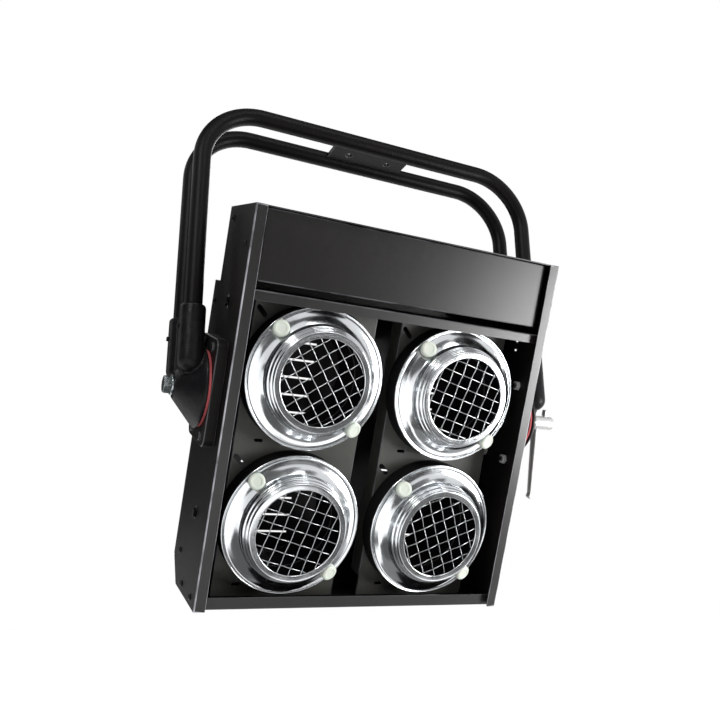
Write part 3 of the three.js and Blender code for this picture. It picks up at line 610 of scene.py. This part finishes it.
def finish(tint, roughness, metallic=0.0, specular=0.5, tints=None, sheen=None, relief=(), sockets=()):
    """(material, tree, shader) of a new finish, uniform values on the shader's own sockets.

    tints is a noise, the start and end of its spread and the shades of the tint at these. sheen is the
    same with two roughnesses. relief is rows of a noise and a depth in metres, one on another. sockets
    holds further values of the shader.
    """
    material = bpy.data.materials.new("finish")
    material.use_nodes = True
    tree = material.node_tree
    shader = tree.nodes["Principled BSDF"]
    uniform = {"Base Color": (*tint, 1.0), "Roughness": roughness, "Metallic": metallic,
               "Specular IOR Level": specular, **dict(sockets)}
    for key, value in uniform.items():
        shader.inputs[key].default_value = value
    if tints:
        cells, start, end, low, high = tints
        ends = {"A": (*shade(tint, low), 1.0), "B": (*shade(tint, high), 1.0),
                "Factor": scaled(tree, noise(tree, *cells), start, end, 0.0, 1.0)}
        tree.links.new(added(tree, "Mix", ends, "Result", data_type="RGBA"), shader.inputs["Base Color"])
    if sheen:
        cells, start, end, low, high = sheen
        tree.links.new(scaled(tree, noise(tree, *cells), start, end, low, high), shader.inputs["Roughness"])
    normal = None
    for cells, depth in relief:
        bump = {"Height": noise(tree, *cells), "Distance": depth, **({"Normal": normal} if normal else {})}
        normal = added(tree, "Bump", bump, "Normal")
    if normal:
        tree.links.new(normal, shader.inputs["Normal"])
    return material, tree, shader


def paint(tint, roughness=0.42, depth=0.00010, specular=0.1):
    """Powder coat: a fine orange peel, faint handling marks and a little dust."""
    return finish(tint, roughness, specular=specular, tints=((0.07, 4.0), 0.35, 0.7, 0.88, 1.18),
                  sheen=((0.0035, 3.0), 0.1, 0.9, roughness - 0.03, roughness + 0.03),
                  relief=[((0.0007, 2.0), depth), ((0.03, 1.0), 0.00005)])


def worn(tint):
    """Powder coat rubbed shiny and thin along an edge. With a light tint, as on the side panels' folds, it
    is partly a painted highlight.
    """
    rub = (0.03, 6.0)
    return finish(tint, 0.3, specular=0.35, tints=(rub, 0.36, 0.6, 0.4, 1.4),
                  sheen=(rub, 0.3, 0.7, 0.24, 0.42), relief=[(rub, 0.0001)])


def casting(tint):
    """Thick paint on a sand casting."""
    return finish(tint, 0.34, specular=0.13, tints=((0.03, 3.0), 0.0, 1.0, 0.8, 1.25),
                  sheen=((0.012, 3.0), 0.3, 0.7, 0.26, 0.42),
                  relief=[((0.0016, 3.0), 0.00018), ((0.009, 2.0), 0.0005)])


def polish(tint):
    """Spun aluminium polished to a mirror, with fine rings and soft waves."""
    rings, waves = (0.0011, 3.0, True), (0.006, 3.0, True)
    return finish(tint, 0.15, 1.0, tints=(rings, 0.0, 1.0, 0.9, 1.0),
                  sheen=((0.02, 3.0), 0.35, 0.7, 0.11, 0.2),
                  relief=[(rings, 0.000008), (waves, 0.00012), ((0.03, 1.0), 0.0003)])


def metal(tint, roughness, depth=0.00003, metallic=1.0):
    """Plated or tumbled metal with mottling and fine scratches."""
    mottle = (0.004, 4.0)
    return finish(tint, roughness, metallic, tints=(mottle, 0.0, 1.0, 0.8, 1.0),
                  sheen=(mottle, 0.3, 0.7, roughness - 0.05, roughness + 0.1),
                  relief=[((0.0012, 3.0), depth)])


def moulded(tint, roughness, subsurface=0.0):
    """Moulded plastic or glazed ceramic."""
    return finish(tint, roughness, tints=((0.006, 3.0), 0.0, 1.0, 0.93, 1.0),
                  sheen=((0.002, 3.0), 0.3, 0.7, roughness - 0.05, roughness + 0.1),
                  relief=[((0.001, 2.0), 0.00006)],
                  sockets={"Subsurface Weight": subsurface, "Subsurface Scale": 0.002})


def pressed_fibre(tint):
    """Pressed friction fibre with short flecks."""
    flecks = (0.0012, 4.0, False, (1.0, 1.0, 3.0))
    return finish(tint, 0.75, specular=0.3, tints=(flecks, 0.35, 0.65, 0.7, 1.3),
                  relief=[(flecks, 0.00025)])


FINISHES = {
    "black_paint": lambda c: paint(c.black_paint),
    "worn_paint": lambda c: worn(c.worn_paint),
    # Painted highlight, partly wear: the light edge finish on the side panels' folds.
    "bare_edge_and_highlight": lambda c: worn(c.bare_edge_and_highlight),
    "flange_paint": lambda c: paint(c.black_paint, 0.34, 0.00002, 0.5),
    "cover_paint": lambda c: paint(c.black_paint, 0.3, 0.00001, 0.4),
    "grey_paint": lambda c: paint(c.grey_paint, 0.4, specular=0.35),
    # A darker copy of the black paint: painted shade on the yoke's tubes, weld beads and hang plate.
    "tube_paint_with_painted_shade": lambda c: paint(shade(c.black_paint, 0.6), 0.32, 0.00016, 0.07),
    "casting_paint": lambda c: casting(c.casting_paint),
    "polished": lambda c: polish(c.polished),
    "wire": lambda c: metal(c.wire, 0.22),
    "zinc": lambda c: metal(c.zinc, 0.26, 0.000012),
    "lever": lambda c: metal(c.lever, 0.34, metallic=0.6),
    # Painted highlight: a lightened, partly diffuse copy of zinc for the nuts inside the bay.
    "post_nut_painted_highlight": lambda c: metal(c.post_nut_painted_highlight, 0.34, metallic=0.3),
    "black_oxide": lambda c: metal(c.black_oxide, 0.4),
    "soot": lambda c: paint(c.soot, 0.7, specular=0.12),
    "nylon": lambda c: moulded(c.nylon, 0.32, 0.08),
    "fibre": lambda c: pressed_fibre(c.fibre),
    "ceramic": lambda c: moulded(c.ceramic, 0.35),
    "gland": lambda c: moulded(c.gland, 0.45),
}


def finish_of(name):
    """The finish of that name, made once."""
    label = "blinder_" + name
    if label not in bpy.data.materials:
        FINISHES[name](bpy.context.scene.blinder_colours)[0].name = label
    return bpy.data.materials[label]


# Yoke


def yoke_line(s, y):
    """Points of one yoke tube's middle line, from foot to foot."""
    x, top, bend, steps = s.leg_spread / 2, s.bar_height, s.bend_radius, 24
    half = [Vector((-x, y, s.tube_foot)), Vector((-x, y, (s.tube_foot + top - bend) / 2))]
    for k in range(steps + 1):
        a = math.pi / 2 * k / steps
        half.append(Vector((-x + bend * (1 - math.cos(a)), y, top - bend * (1 - math.sin(a)))))
    return half + [Vector((-p.x, p.y, p.z)) for p in reversed(half)]


class BLINDER_OT_yoke_tubes(bpy.types.Operator):
    """Makes the two bent tubes of the yoke, the hang plate and the weld beads along it"""

    bl_idname = "blinder.yoke_tubes"
    bl_label = "Yoke tubes"

    def execute(self, context):
        s = context.scene.blinder_yoke
        for name, side in (("front", -1), ("rear", 1)):
            mesh = mesh_from(swept(yoke_line(s, side * s.pipe_spacing / 2), s.pipe_radius, 48))
            piece("yoke_tube_" + name, "bent", mesh, yoke_place(), "black_paint", "tube_paint_with_painted_shade", body="yoke")
        low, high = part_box("hang_plate")
        radius, swell, sink, ripples = 0.0021, 0.0005, 0.0004, 34

        def bead_radius(t):
            return radius + swell * math.cos(t * ripples * math.pi)

        for name, y in (("front", low[1]), ("rear", high[1])):
            line = [Vector((low[0] + (high[0] - low[0]) * k / ripples, y, high[2] - sink))
                    for k in range(ripples + 1)]
            mesh = mesh_from(swept(line, bead_radius, 10))
            piece("weld_bead", name, mesh, Matrix.Identity(4), "black_paint", "tube_paint_with_painted_shade",
                  body="yoke", extra=True)
        # The hang plate takes the darker tube paint as painted shade for its shaded underside.
        folded_copy("hang_plate", "tube_paint_with_painted_shade", "worn_paint", body="yoke", fold=0.0008)
        return {"FINISHED"}


def casting_mesh(s):
    """The left end casting: a conical hub, two round-footed sockets and the web between them."""
    rim, nose, top, foot = s.hub_rim_radius, s.hub_nose_radius, s.socket_top, 0.025
    edge, soft, gap, lip, grain = 0.005, 0.002, 0.0006, 0.003, 0.0013
    hub = rounded([
        (0.0, -s.hub_nose, 0), (nose, -s.hub_nose, soft), (rim - edge / 2, -s.hub_base - edge, soft),
        (rim, -s.hub_base - edge / 2, 0.75 * soft), (rim, -s.hub_base, 0.25 * soft), (0.0, -s.hub_base, 0),
    ])
    bore = s.pipe_radius + gap
    ball = [Vector((s.socket_radius * math.sin(a), foot - s.socket_radius * math.cos(a)))
            for a in (math.pi / 2 * k / 12 for k in range(13))]
    socket = ball + rounded([
        (s.socket_radius, foot + 0.001, 0), (s.socket_radius, top, soft), (bore, top, gap),
        (bore, top - lip, 0), (0.0, top - lip, 0),
    ], 8)
    x, half = -s.leg_spread / 2, s.pipe_spacing / 2
    reach = half + s.socket_radius / 2
    head = top - edge
    web = [(-reach, foot), (-nose, 0.0), (nose, 0.0), (reach, foot), (half, head), (-half, head)]
    parts = [moved(turned(hub, 96), ALONG_X), prism(web, x - s.web_thickness / 2, x + s.web_thickness / 2)]
    for y in (-half, half):
        parts.append(moved(turned(socket, 64), Matrix.Translation((x, y, 0)) @ quarter_turn("X")))
    return blended(parts, grain)


class BLINDER_OT_yoke_ends(bpy.types.Operator):
    """Makes the two end castings of the yoke and the screws in their sockets"""

    bl_idname = "blinder.yoke_ends"
    bl_label = "End castings"

    def execute(self, context):
        left = casting_mesh(context.scene.blinder_yoke)
        for name, mesh in (("left", left), ("right", mirrored(left))):
            piece("yoke_end_" + name, "casting", mesh, yoke_place(), "cast_black", "casting_paint",
                  body="yoke")
            for end in ("front", "rear"):
                folded_copy(f"socket_screw_{name}_{end}", "black_oxide", "black_oxide", "zinc",
                            "yoke", 0.0005)
        return {"FINISHED"}


# Pivots


def disc_mesh(inner, outer, start, end, roundings, sides):
    """A washer along X, with the rounding of its outer start, outer end and inner end."""
    corners = [(inner, start), (outer, start), (outer, end), (inner, end)]
    section = rounded([(r, x, rounding) for (r, x), rounding in zip(corners, (0, *roundings))])
    return mesh_from(moved(turned(section, sides, closed=True), ALONG_X))


class BLINDER_OT_pivots(bpy.types.Operator):
    """Makes the friction washers, the pivot bolt, the stud and the plain washers"""

    bl_idname = "blinder.pivots"
    bl_label = "Pivot fastenings"

    def execute(self, context):
        s = context.scene.blinder_pivot
        housing = context.scene.blinder_housing
        place = tilted_place()
        bore = s.bolt_radius + SEAT_GAP
        face = context.scene.blinder_yoke.hub_nose + SEAT_GAP
        for name, side in SIDES.items():
            start, end = side * s.washer_face, side * (s.washer_face + s.friction_thickness)
            mesh = disc_mesh(bore, s.friction_radius, start, end, (0.0005, 0.0005, 0), 96)
            piece("friction_washer_" + name, "disc", mesh, yoke_place(), "red_fibre", "fibre", body="yoke")
            start, end = side * face, side * (face + s.plain_washer)
            mesh = disc_mesh(bore, s.plain_washer_radius, start, end, (0.0004, 0.0008, 0.0004), 64)
            piece("pivot_washer_" + name, "plate", mesh, place, "zinc", "zinc")
        inside, weld_nut, stud_end = housing.half_width - housing.sheet - SEAT_GAP, 0.010, 0.286
        seat = face + s.plain_washer + SEAT_GAP

        def shank(end):
            return turned([(0, -end), (s.bolt_radius, -end), (s.bolt_radius, -inside), (0, -inside)], 32)

        head = moved(hexagon_head(s.bolt_flats, s.bolt_head), Matrix.Translation((0, -seat, 0)))
        nut = moved(hexagon_head(s.bolt_flats, weld_nut),
                    Matrix.Translation((0, -inside, 0)) @ quarter_turn("Z", 2))
        bolt = mesh_from(*(moved(part, ALONG_X) for part in (head, nut, shank(seat))), smooth=25)
        stud = mirrored(mesh_from(*(moved(part, ALONG_X) for part in (nut, shank(stud_end))), smooth=25))
        piece("pivot_bolt_left", "hexagon", bolt, place, "zinc", "zinc")
        piece("pivot_stud_right", "thread", stud, place, "zinc", "zinc")
        return {"FINISHED"}


class BLINDER_OT_clamp_lever(bpy.types.Operator):
    """Makes the clamp lever and its square-headed screw"""

    bl_idname = "blinder.clamp_lever"
    bl_label = "Clamp lever"

    def execute(self, context):
        s = context.scene.blinder_pivot
        start = context.scene.blinder_yoke.hub_nose + s.plain_washer + 2 * SEAT_GAP
        radius, end = s.lever_hub_radius, s.lever_hub_end
        hub = rounded([(0.0, start, 0), (radius, start, 0.001), (radius, end, 0.0022), (0.0, end, 0)])
        arm_start, fuller, flatter, grain = 0.003, 1.25, 0.72, 0.0008
        arm_x = start + arm_start + s.lever_arm_thickness / 2
        tip = s.lever_length - s.lever_arm_tip / 2
        slope = math.tan(s.lever_lean)
        line = [Vector((arm_x + t * tip * slope, 0, -t * tip)) for t in (0, 0.25, 0.5, 0.75, 1)]

        def half_width(t):
            return (s.lever_arm_root * (1 - t) + s.lever_arm_tip * t) / 2

        arm = swept(line, half_width, 24, squash=fuller * s.lever_arm_thickness / s.lever_arm_root)
        end, soft = half_width(1), half_width(1) * 0.98
        ball = rounded([(0, -end, 0), (end, -end, soft), (end, end, soft), (0, end, 0)], 8)
        squeeze = Matrix.Translation(line[-1]) @ Matrix.Diagonal((flatter, 1, 1, 1))
        parts = [moved(turned(hub, 64), ALONG_X), arm, moved(turned(ball, 32), squeeze)]
        mesh = blended(parts, grain, 5)
        piece("clamp_lever", "arm", mesh, tilted_place(), "zinc", "lever", body="lever")
        self.screw(s)
        return {"FINISHED"}

    def screw(self, s):
        foot, seat = s.bolt_radius + SEAT_GAP, s.lever_hub_radius + SEAT_GAP
        half, shank = s.clamp_screw_head / 2, 0.003
        corners = ((half, half), (-half, half), (-half, -half), (half, -half))
        square = rounded([(y, z, 0.001) for y, z in corners], 4, closed=True)
        from_middle = 0.282
        spot = Matrix.Translation((from_middle, 0, 0))
        head = prism(square, seat, seat + s.clamp_screw_proud)
        head = mesh_from(moved(head, spot @ quarter_turn("Y", -1)))
        head = worked(head, ("BEVEL", {"width": 0.0008, "segments": 3, "limit_method": "ANGLE"}))
        top = seat + 0.001
        section = [(0, foot), (shank, foot), (shank, top), (0, top)]
        mesh = joined_mesh(tidied(head), mesh_from(moved(turned(section, 24), spot @ quarter_turn("X"))))
        piece("clamp_screw", "square", mesh, tilted_place(), "zinc", "lever", body="lever")


# Housing


class BLINDER_OT_sheets(bpy.types.Operator):
    """Rounds the folds and edges of the housing's sheets and paints them"""

    bl_idname = "blinder.sheets"
    bl_label = "Folded sheets"

    def execute(self, context):
        for side in SIDES:
            folded_copy("side_panel_" + side, "black_paint", "bare_edge_and_highlight", front="flange_paint")
        for node in ("top_sheet", "bay_ceiling", "bottom_sheet", "back_cover"):
            folded_copy(node, "black_paint", "worn_paint", front="flange_paint")
        folded_copy("front_cover", "cover_paint", "worn_paint")
        for side in SIDES:
            folded_copy("pivot_channel_" + side, "black_paint", "worn_paint", fold=0.0012)
        for side in SIDES:
            folded_copy("lamp_plate_" + side, "grey_paint", "worn_paint", "grey_paint")
        for spot in ("left_upper", "left_lower", "right_upper", "right_lower"):
            folded_copy("side_screw_" + spot, "black_oxide", "black_oxide", "zinc", fold=0.0005)
        return {"FINISHED"}


# Lamps


def bezel_section(s):
    """The section of a bezel's spun wall, from the rim of its mouth to its rolled lip."""
    front, step, lip, depth = -s.mouth_proud, s.barrel_step, s.bezel_radius - 0.0011, s.lip_depth
    first, second = s.barrel_radius + step, s.barrel_radius + 2 * step
    belly_out, belly_down = 0.4, 0.78
    belly_radius = second + belly_out * (lip - second)
    belly_depth = s.bell_start + belly_down * (depth - s.bezel_wall - s.bell_start)
    rim_round, step_round, edge_return, lip_width = 0.0016, 0.0013, 0.0022, 0.0036
    corners = [
        (s.mouth_radius, front + edge_return, 0),
        (s.mouth_radius, front, rim_round),
        (s.barrel_radius, front, rim_round),
        (s.barrel_radius, front + 1.4 * step, step_round),
        (first, front + 1.9 * step, step_round),
        (first, front + 3.6 * step, step_round),
        (second, front + 4.1 * step, step_round),
        (second, s.bell_start, 0.004),
        (belly_radius, belly_depth, 0.022),
        (lip - lip_width, depth - s.bezel_wall / 2, 0.006),
        (lip, depth - 1.5 * s.bezel_wall, s.bezel_wall),
        (lip, depth + edge_return, 0),
    ]
    return sheet_section(corners, -s.bezel_wall, 7)


class BLINDER_OT_bezels(bpy.types.Operator):
    """Makes the polished bezels of the lamps, each with a rolled lip"""

    bl_idname = "blinder.bezels"
    bl_label = "Bezels"

    def execute(self, context):
        s = context.scene.blinder_lamp
        roll, sides = 0.0016, 160
        bead = [(s.bezel_radius - roll + roll * math.cos(a), s.lip_depth - roll / 8 + roll * math.sin(a))
                for a in spokes(12)]
        for lamp in GUARDS:
            mesh = mesh_from(turned(bezel_section(s), sides, closed=True), turned(bead, sides, closed=True))
            piece("bezel_" + lamp, "spun", mesh, lamp_place(lamp), "polished_aluminium", "polished")
        return {"FINISHED"}


def woven_wire(s, reach, middle, seat, other, up, over):
    """Points of one wire of a guard, that weaves over and under the wires across it."""
    half, finest, bow = math.sqrt(reach**2 - seat**2), 8, 1.05
    steps = max(6, round(2 * half / s.wire_pitch * finest))
    points = []
    for k in range(steps + 1):
        along = -half + 2 * half * k / steps
        wave = over * math.cos(math.pi * (along - other) / s.wire_pitch)
        depth = middle + s.wire_radius * bow * wave
        points.append(Vector((seat, depth, along) if up else (along, depth, seat)))
    return points


class BLINDER_OT_wire_guards(bpy.types.Operator):
    """Weaves the wire guard behind each bezel's rim"""

    bl_idname = "blinder.wire_guards"
    bl_label = "Wire guards"

    def execute(self, context):
        s = context.scene.blinder_lamp
        radius = s.wire_radius
        reach = s.barrel_radius - s.bezel_wall - 2 * radius
        middle = -s.mouth_proud + s.bezel_wall + SEAT_GAP + 2 * radius
        ring = [Vector((reach * math.cos(a), middle, reach * math.sin(a))) for a in spokes(96)]
        for lamp, (degrees, *shares) in GUARDS.items():
            parts = [swept(ring, radius, 8, closed=True)]
            shifts = [value * s.wire_pitch for value in shares]
            for row in range(-4, 5):
                for one, two, sign in ((0, 1, 1), (1, 0, -1)):
                    seat = row * s.wire_pitch + shifts[one]
                    if abs(seat) > reach - 2 * radius:
                        continue
                    over = sign * (1 if row % 2 == 0 else -1)
                    line = woven_wire(s, reach, middle, seat, shifts[two], one == 0, over)
                    parts.append(swept(line, radius, 8))
            place = lamp_place(lamp) @ Matrix.Rotation(math.radians(degrees), 4, "Y")
            piece("wire_guard_" + lamp, "woven", mesh_from(*parts, smooth=50), place,
                  "galvanised_wire", "wire")
        return {"FINISHED"}


class BLINDER_OT_lamp_cans(bpy.types.Operator):
    """Makes the black can behind each bezel and paints its lamp holder"""

    bl_idname = "blinder.lamp_cans"
    bl_label = "Lamp cans"

    def execute(self, context):
        drum, tube, fold, wall = context.scene.blinder_lamp.can_radius, 0.062, 0.002, 0.0012
        front, step, back = 0.0248, 0.0477, 0.104
        corners = [(drum, front, 0), (drum, step, fold), (tube, step, fold), (tube, back, 0)]
        section = sheet_section(corners, wall)
        for lamp in GUARDS:
            mesh = mesh_from(turned(section, 128, closed=True))
            piece("lamp_can_" + lamp, "drum", mesh, lamp_place(lamp), "soot_black", "soot")
            folded_copy("lamp_holder_" + lamp, "ceramic", "ceramic", "ceramic", fold=0.0008)
        return {"FINISHED"}


class BLINDER_OT_buttons(bpy.types.Operator):
    """Makes the domed retaining buttons on the bezels"""

    bl_idname = "blinder.buttons"
    bl_label = "Buttons"

    def execute(self, context):
        s = context.scene.blinder_lamp
        barrel, lip_front = s.barrel_radius + 2 * s.barrel_step, s.lip_depth - 0.00125
        fall, run = lip_front - s.bell_start, s.bezel_radius - barrel
        depth = s.bell_start + (s.button_seat - barrel) * fall / run
        r, h = s.button_radius, s.button_height
        dome = rounded([
            (0.0, 0.0, 0), (r, 0.0, 0.0006), (r, -0.8 * h, 0.0010), (0.84 * r, -0.95 * h, 0.0012),
            (0.62 * r, -h, 0.0010), (0.56 * r, -0.93 * h, 0.0008), (0.0, -0.93 * h, 0),
        ], 6)
        seat = Matrix.Translation((s.button_seat, depth, 0)) @ Matrix.Rotation(math.atan2(fall, run), 4, "Z")
        for lamp in GUARDS:
            for name, degrees in (("high", -135.0), ("low", 45.0)):
                mesh = mesh_from(moved(turned(dome, 64), Matrix.Translation((0, -SEAT_GAP, 0))))
                place = lamp_place(lamp) @ Matrix.Rotation(math.radians(degrees), 4, "Y") @ seat
                piece(f"button_{name}_{lamp}", "dome", mesh, place, "cream_nylon", "nylon")
        return {"FINISHED"}


# Small fasteners


def pan_head(radius, height):
    """A round screw head with a cross recess, that stands from Y 0 to -height."""
    dome = rounded([(0.0, 0.0, 0), (radius, 0.0, 0.0002), (radius, -height * 0.55, radius * 0.3),
                    (radius * 0.5, -height, 0.002), (0.0, -height, 0)])
    long, narrow = radius * 1.1, radius * 0.26
    cross = bmesh.new()
    for across, up in ((long, narrow), (narrow, long)):
        made = bmesh.ops.create_cube(cross, size=1.0)["verts"]
        bmesh.ops.scale(cross, vec=(across, height, up), verts=made)
        bmesh.ops.translate(cross, vec=(0, -height, 0), verts=made)
    cutter = bpy.data.objects.new("cross", bpy.data.meshes.new("cross"))
    cross.to_mesh(cutter.data)
    cross.free()
    bpy.context.scene.collection.objects.link(cutter)
    cut = {"operation": "DIFFERENCE", "object": cutter, "use_self": True}
    out = worked(mesh_from(turned(dome, 32)), ("BOOLEAN", cut))
    bpy.data.objects.remove(cutter)
    return tidied(out, 40)


class BLINDER_OT_small_screws(bpy.types.Operator):
    """Sets the small screws round the side panels and the back cover, and the nuts inside the bay"""

    bl_idname = "blinder.small_screws"
    bl_label = "Small screws"

    def execute(self, context):
        s, h = context.scene.blinder_fasteners, context.scene.blinder_housing
        head = pan_head(s.screw_radius, s.screw_height)
        nut = mesh_from(hexagon_head(s.nut_flats, s.nut_height), smooth=25)
        nut_gap = 0.0002
        inside = h.half_width - h.sheet - nut_gap
        for name, side in SIDES.items():
            panel = [(side * h.half_width, y, z) for y, z in PANEL_SCREWS]
            self.fasten("side_panel_" + name, "screws", head, "black_oxide", side, panel)
        cover = [(x, COVER_FACE, z) for x in COVER_COLUMNS for z in COVER_ROWS]
        self.fasten("back_cover", "screws", head, "black_oxide", 2, cover)
        for name, side in SIDES.items():
            posts = [(side * inside, h.pivot_depth + y, h.pivot_height + z) for y, z in POSTS]
            self.fasten("pivot_channel_" + name, "nuts", nut, "post_nut_painted_highlight", -side, posts)
        return {"FINISHED"}

    def fasten(self, node, ending, mesh, finish_name, turns, spots):
        """Sets a copy of the mesh at each spot, turned by quarters round Z, as one extra piece."""
        copies = spread_copies(mesh, [Matrix.Translation(spot) @ quarter_turn("Z", turns) for spot in spots])
        piece(node, ending, copies, housing_place(), "zinc", finish_name, extra=True)


class BLINDER_OT_electrics(bpy.types.Operator):
    """Finishes the terminal block, the earth stud and the cable gland"""

    bl_idname = "blinder.electrics"
    bl_label = "Electrics"

    def execute(self, context):
        s = context.scene.blinder_fasteners
        dressed("terminal_block", "ceramic")
        dressed("earth_stud", "zinc")
        parts = [turned(rounded(GLAND_SECTION, 4), 64, closed=True),
                 moved(hexagon_head(s.gland_flats, GLAND_NUT), quarter_turn("Z", 2))]
        for a in spokes(20):
            x, z = RIB_SEAT * math.cos(a), RIB_SEAT * math.sin(a)
            parts.append(swept([Vector((x, RIB_FOOT, z)), Vector((x, RIB_TOP, z))], RIB_RADIUS, 6))
        place = housing_place() @ Matrix.Translation(s.gland_place)
        piece("cable_gland", "body", mesh_from(*parts, smooth=30), place, "black_nylon", "gland")
        return {"FINISHED"}


# Stage


def soft_lamp(scene, name, place, target, size, power):
    data = bpy.data.lights.new(name, "AREA")
    data.shape = "RECTANGLE"
    data.size, data.size_y = size
    data.energy = power
    obj = bpy.data.objects.new(name, data)
    obj.location = place
    obj.rotation_euler = (Vector(target) - Vector(place)).to_track_quat("-Z", "Y").to_euler()
    obj.visible_camera = False
    scene.collection.objects.link(obj)


def stage_piece(scene, name, corners, faces, material):
    """A piece of the studio."""
    mesh = bpy.data.meshes.new(name)
    mesh.from_pydata(corners, [], faces)
    mesh.materials.append(material)
    obj = bpy.data.objects.new(name, mesh)
    scene.collection.objects.link(obj)
    return obj


def seen_by(tree, *rays):
    """1 where one of the named kinds of ray looks, else 0."""
    path = tree.nodes.new("ShaderNodeLightPath")
    value = path.outputs[f"Is {rays[0]} Ray"]
    for ray in rays[1:]:
        seen = {0: value, 1: path.outputs[f"Is {ray} Ray"]}
        value = added(tree, "Math", seen, "Value", operation="MAXIMUM")
    return value


class BLINDER_OT_stage(bpy.types.Operator):
    """Sets the pale floor, the white surroundings, the soft lamps and the camera"""

    bl_idname = "blinder.stage"
    bl_label = "Stage and camera"

    def execute(self, context):
        s, scene = context.scene.blinder_studio, context.scene
        scene.view_settings.view_transform = "Standard"
        camera = bpy.data.cameras.new("photo_camera")
        camera.sensor_width = 36.0
        camera.lens = s.lens
        scene.camera = bpy.data.objects.new("photo_camera", camera)
        scene.camera.location = s.camera_place
        scene.camera.rotation_euler = (s.camera_rise, s.camera_roll, s.camera_swing)
        scene.collection.objects.link(scene.camera)
        low, reach = CAD_BOX[0][2] - s.floor_drop, 9.0
        corners, faces = moved(turned([(0.0, 0.0), (reach, 0.0)]), quarter_turn("X"))
        stage_piece(scene, "floor", corners, faces, self.floor_finish(s)).location = (0, 0, low)
        self.white_surroundings(scene, s)
        self.cards(scene, low + CARD_LIFT)
        for name, settings in SOFT_LAMPS.items():
            soft_lamp(scene, name, *settings)
        return {"FINISHED"}

    def cards(self, scene, deck):
        """Cards that the polished bezels and the sheen of the paint mirror."""
        def card(name, tone, corners):
            light = {"Emission Color": (1.0, 1.0, 1.0, 1.0), "Emission Strength": CARD_TONES[tone]}
            material = finish((0.0, 0.0, 0.0), 1.0, specular=0.0, sockets=light)[0]
            material.name = "card_finish"
            obj = stage_piece(scene, name, corners, [tuple(range(len(corners)))], material)
            for ray in ("camera", "diffuse", "shadow", "transmission", "volume_scatter"):
                setattr(obj, "visible_" + ray, False)

        for name, (tone, outline) in FLAT_CARDS.items():
            card(name, tone, [(x, y, deck) for x, y in outline])
        for name, (wall, tone, (start, end), (foot, top)) in WALL_CARDS.items():
            at = WALL_REACH if wall in ("right", "rear") else -WALL_REACH
            foot = deck if foot is None else foot
            ends = [(start, foot), (end, foot), (end, top), (start, top)]
            card(name, tone, [(at, a, z) if wall in ("left", "right") else (a, at, z) for a, z in ends])
        card("ceiling_card", "dark", [(x, y, CEILING_HEIGHT) for x, y in CEILING_CARD])

    def floor_finish(self, s):
        """Pale floor that keeps its shadow, lifted to white only where the camera or a gloss sees it."""
        material, tree, shader = finish(s.floor_white, 0.8, specular=0.1)
        material.name = "pale_floor"
        level = scaled(tree, seen_by(tree, "Camera", "Glossy"), 0.0, 1.0, 0.0, s.floor_lift)
        glow = added(tree, "Emission", {"Strength": level}, "Emission")
        both = added(tree, "AddShader", {0: shader.outputs["BSDF"], 1: glow}, "Shader")
        tree.links.new(both, tree.nodes["Material Output"].inputs["Surface"])
        return material

    def white_surroundings(self, scene, s):
        """White where the camera, a gloss or glass sees it, and a softer level as light."""
        world = bpy.data.worlds.new("studio")
        world.use_nodes = True
        tree = world.node_tree
        background = tree.nodes["Background"]
        background.inputs["Color"].default_value = (1.0, 1.0, 1.0, 1.0)
        level = scaled(tree, seen_by(tree, "Camera", "Glossy", "Transmission"), 0.0, 1.0, s.room_light, 1.0)
        tree.links.new(level, background.inputs["Strength"])
        scene.world = world


class BLINDER_PT_panel(bpy.types.Panel):
    """Lists the pieces of the light in the sidebar."""

    bl_idname = "BLINDER_PT_panel"
    bl_label = "Blinder light"
    bl_space_type = "VIEW_3D"
    bl_region_type = "UI"
    bl_category = "Blinder"

    def draw(self, context):
        for operator in OPERATORS:
            self.layout.operator(operator.bl_idname)
        for name, group in SIZE_GROUPS.items():
            box = self.layout.box()
            for key in group.__annotations__:
                box.prop(getattr(context.scene, name), key)


OPERATORS = (
    BLINDER_OT_yoke_tubes,
    BLINDER_OT_yoke_ends,
    BLINDER_OT_pivots,
    BLINDER_OT_clamp_lever,
    BLINDER_OT_sheets,
    BLINDER_OT_bezels,
    BLINDER_OT_wire_guards,
    BLINDER_OT_lamp_cans,
    BLINDER_OT_buttons,
    BLINDER_OT_small_screws,
    BLINDER_OT_electrics,
    BLINDER_OT_stage,
)
CLASSES = (*SIZE_GROUPS.values(), *OPERATORS, BLINDER_PT_panel)


def register():
    for made in CLASSES:
        bpy.utils.register_class(made)
    for name, group in SIZE_GROUPS.items():
        setattr(bpy.types.Scene, name, bpy.props.PointerProperty(type=group))


def unregister():
    for name in SIZE_GROUPS:
        delattr(bpy.types.Scene, name)
    for made in reversed(CLASSES):
        bpy.utils.unregister_class(made)


def main():
    register()
    for operator in OPERATORS:
        family, name = operator.bl_idname.split(".")
        getattr(getattr(bpy.ops, family), name)()
    bpy.context.view_layer.update()


if __name__ == "__main__":
    main()
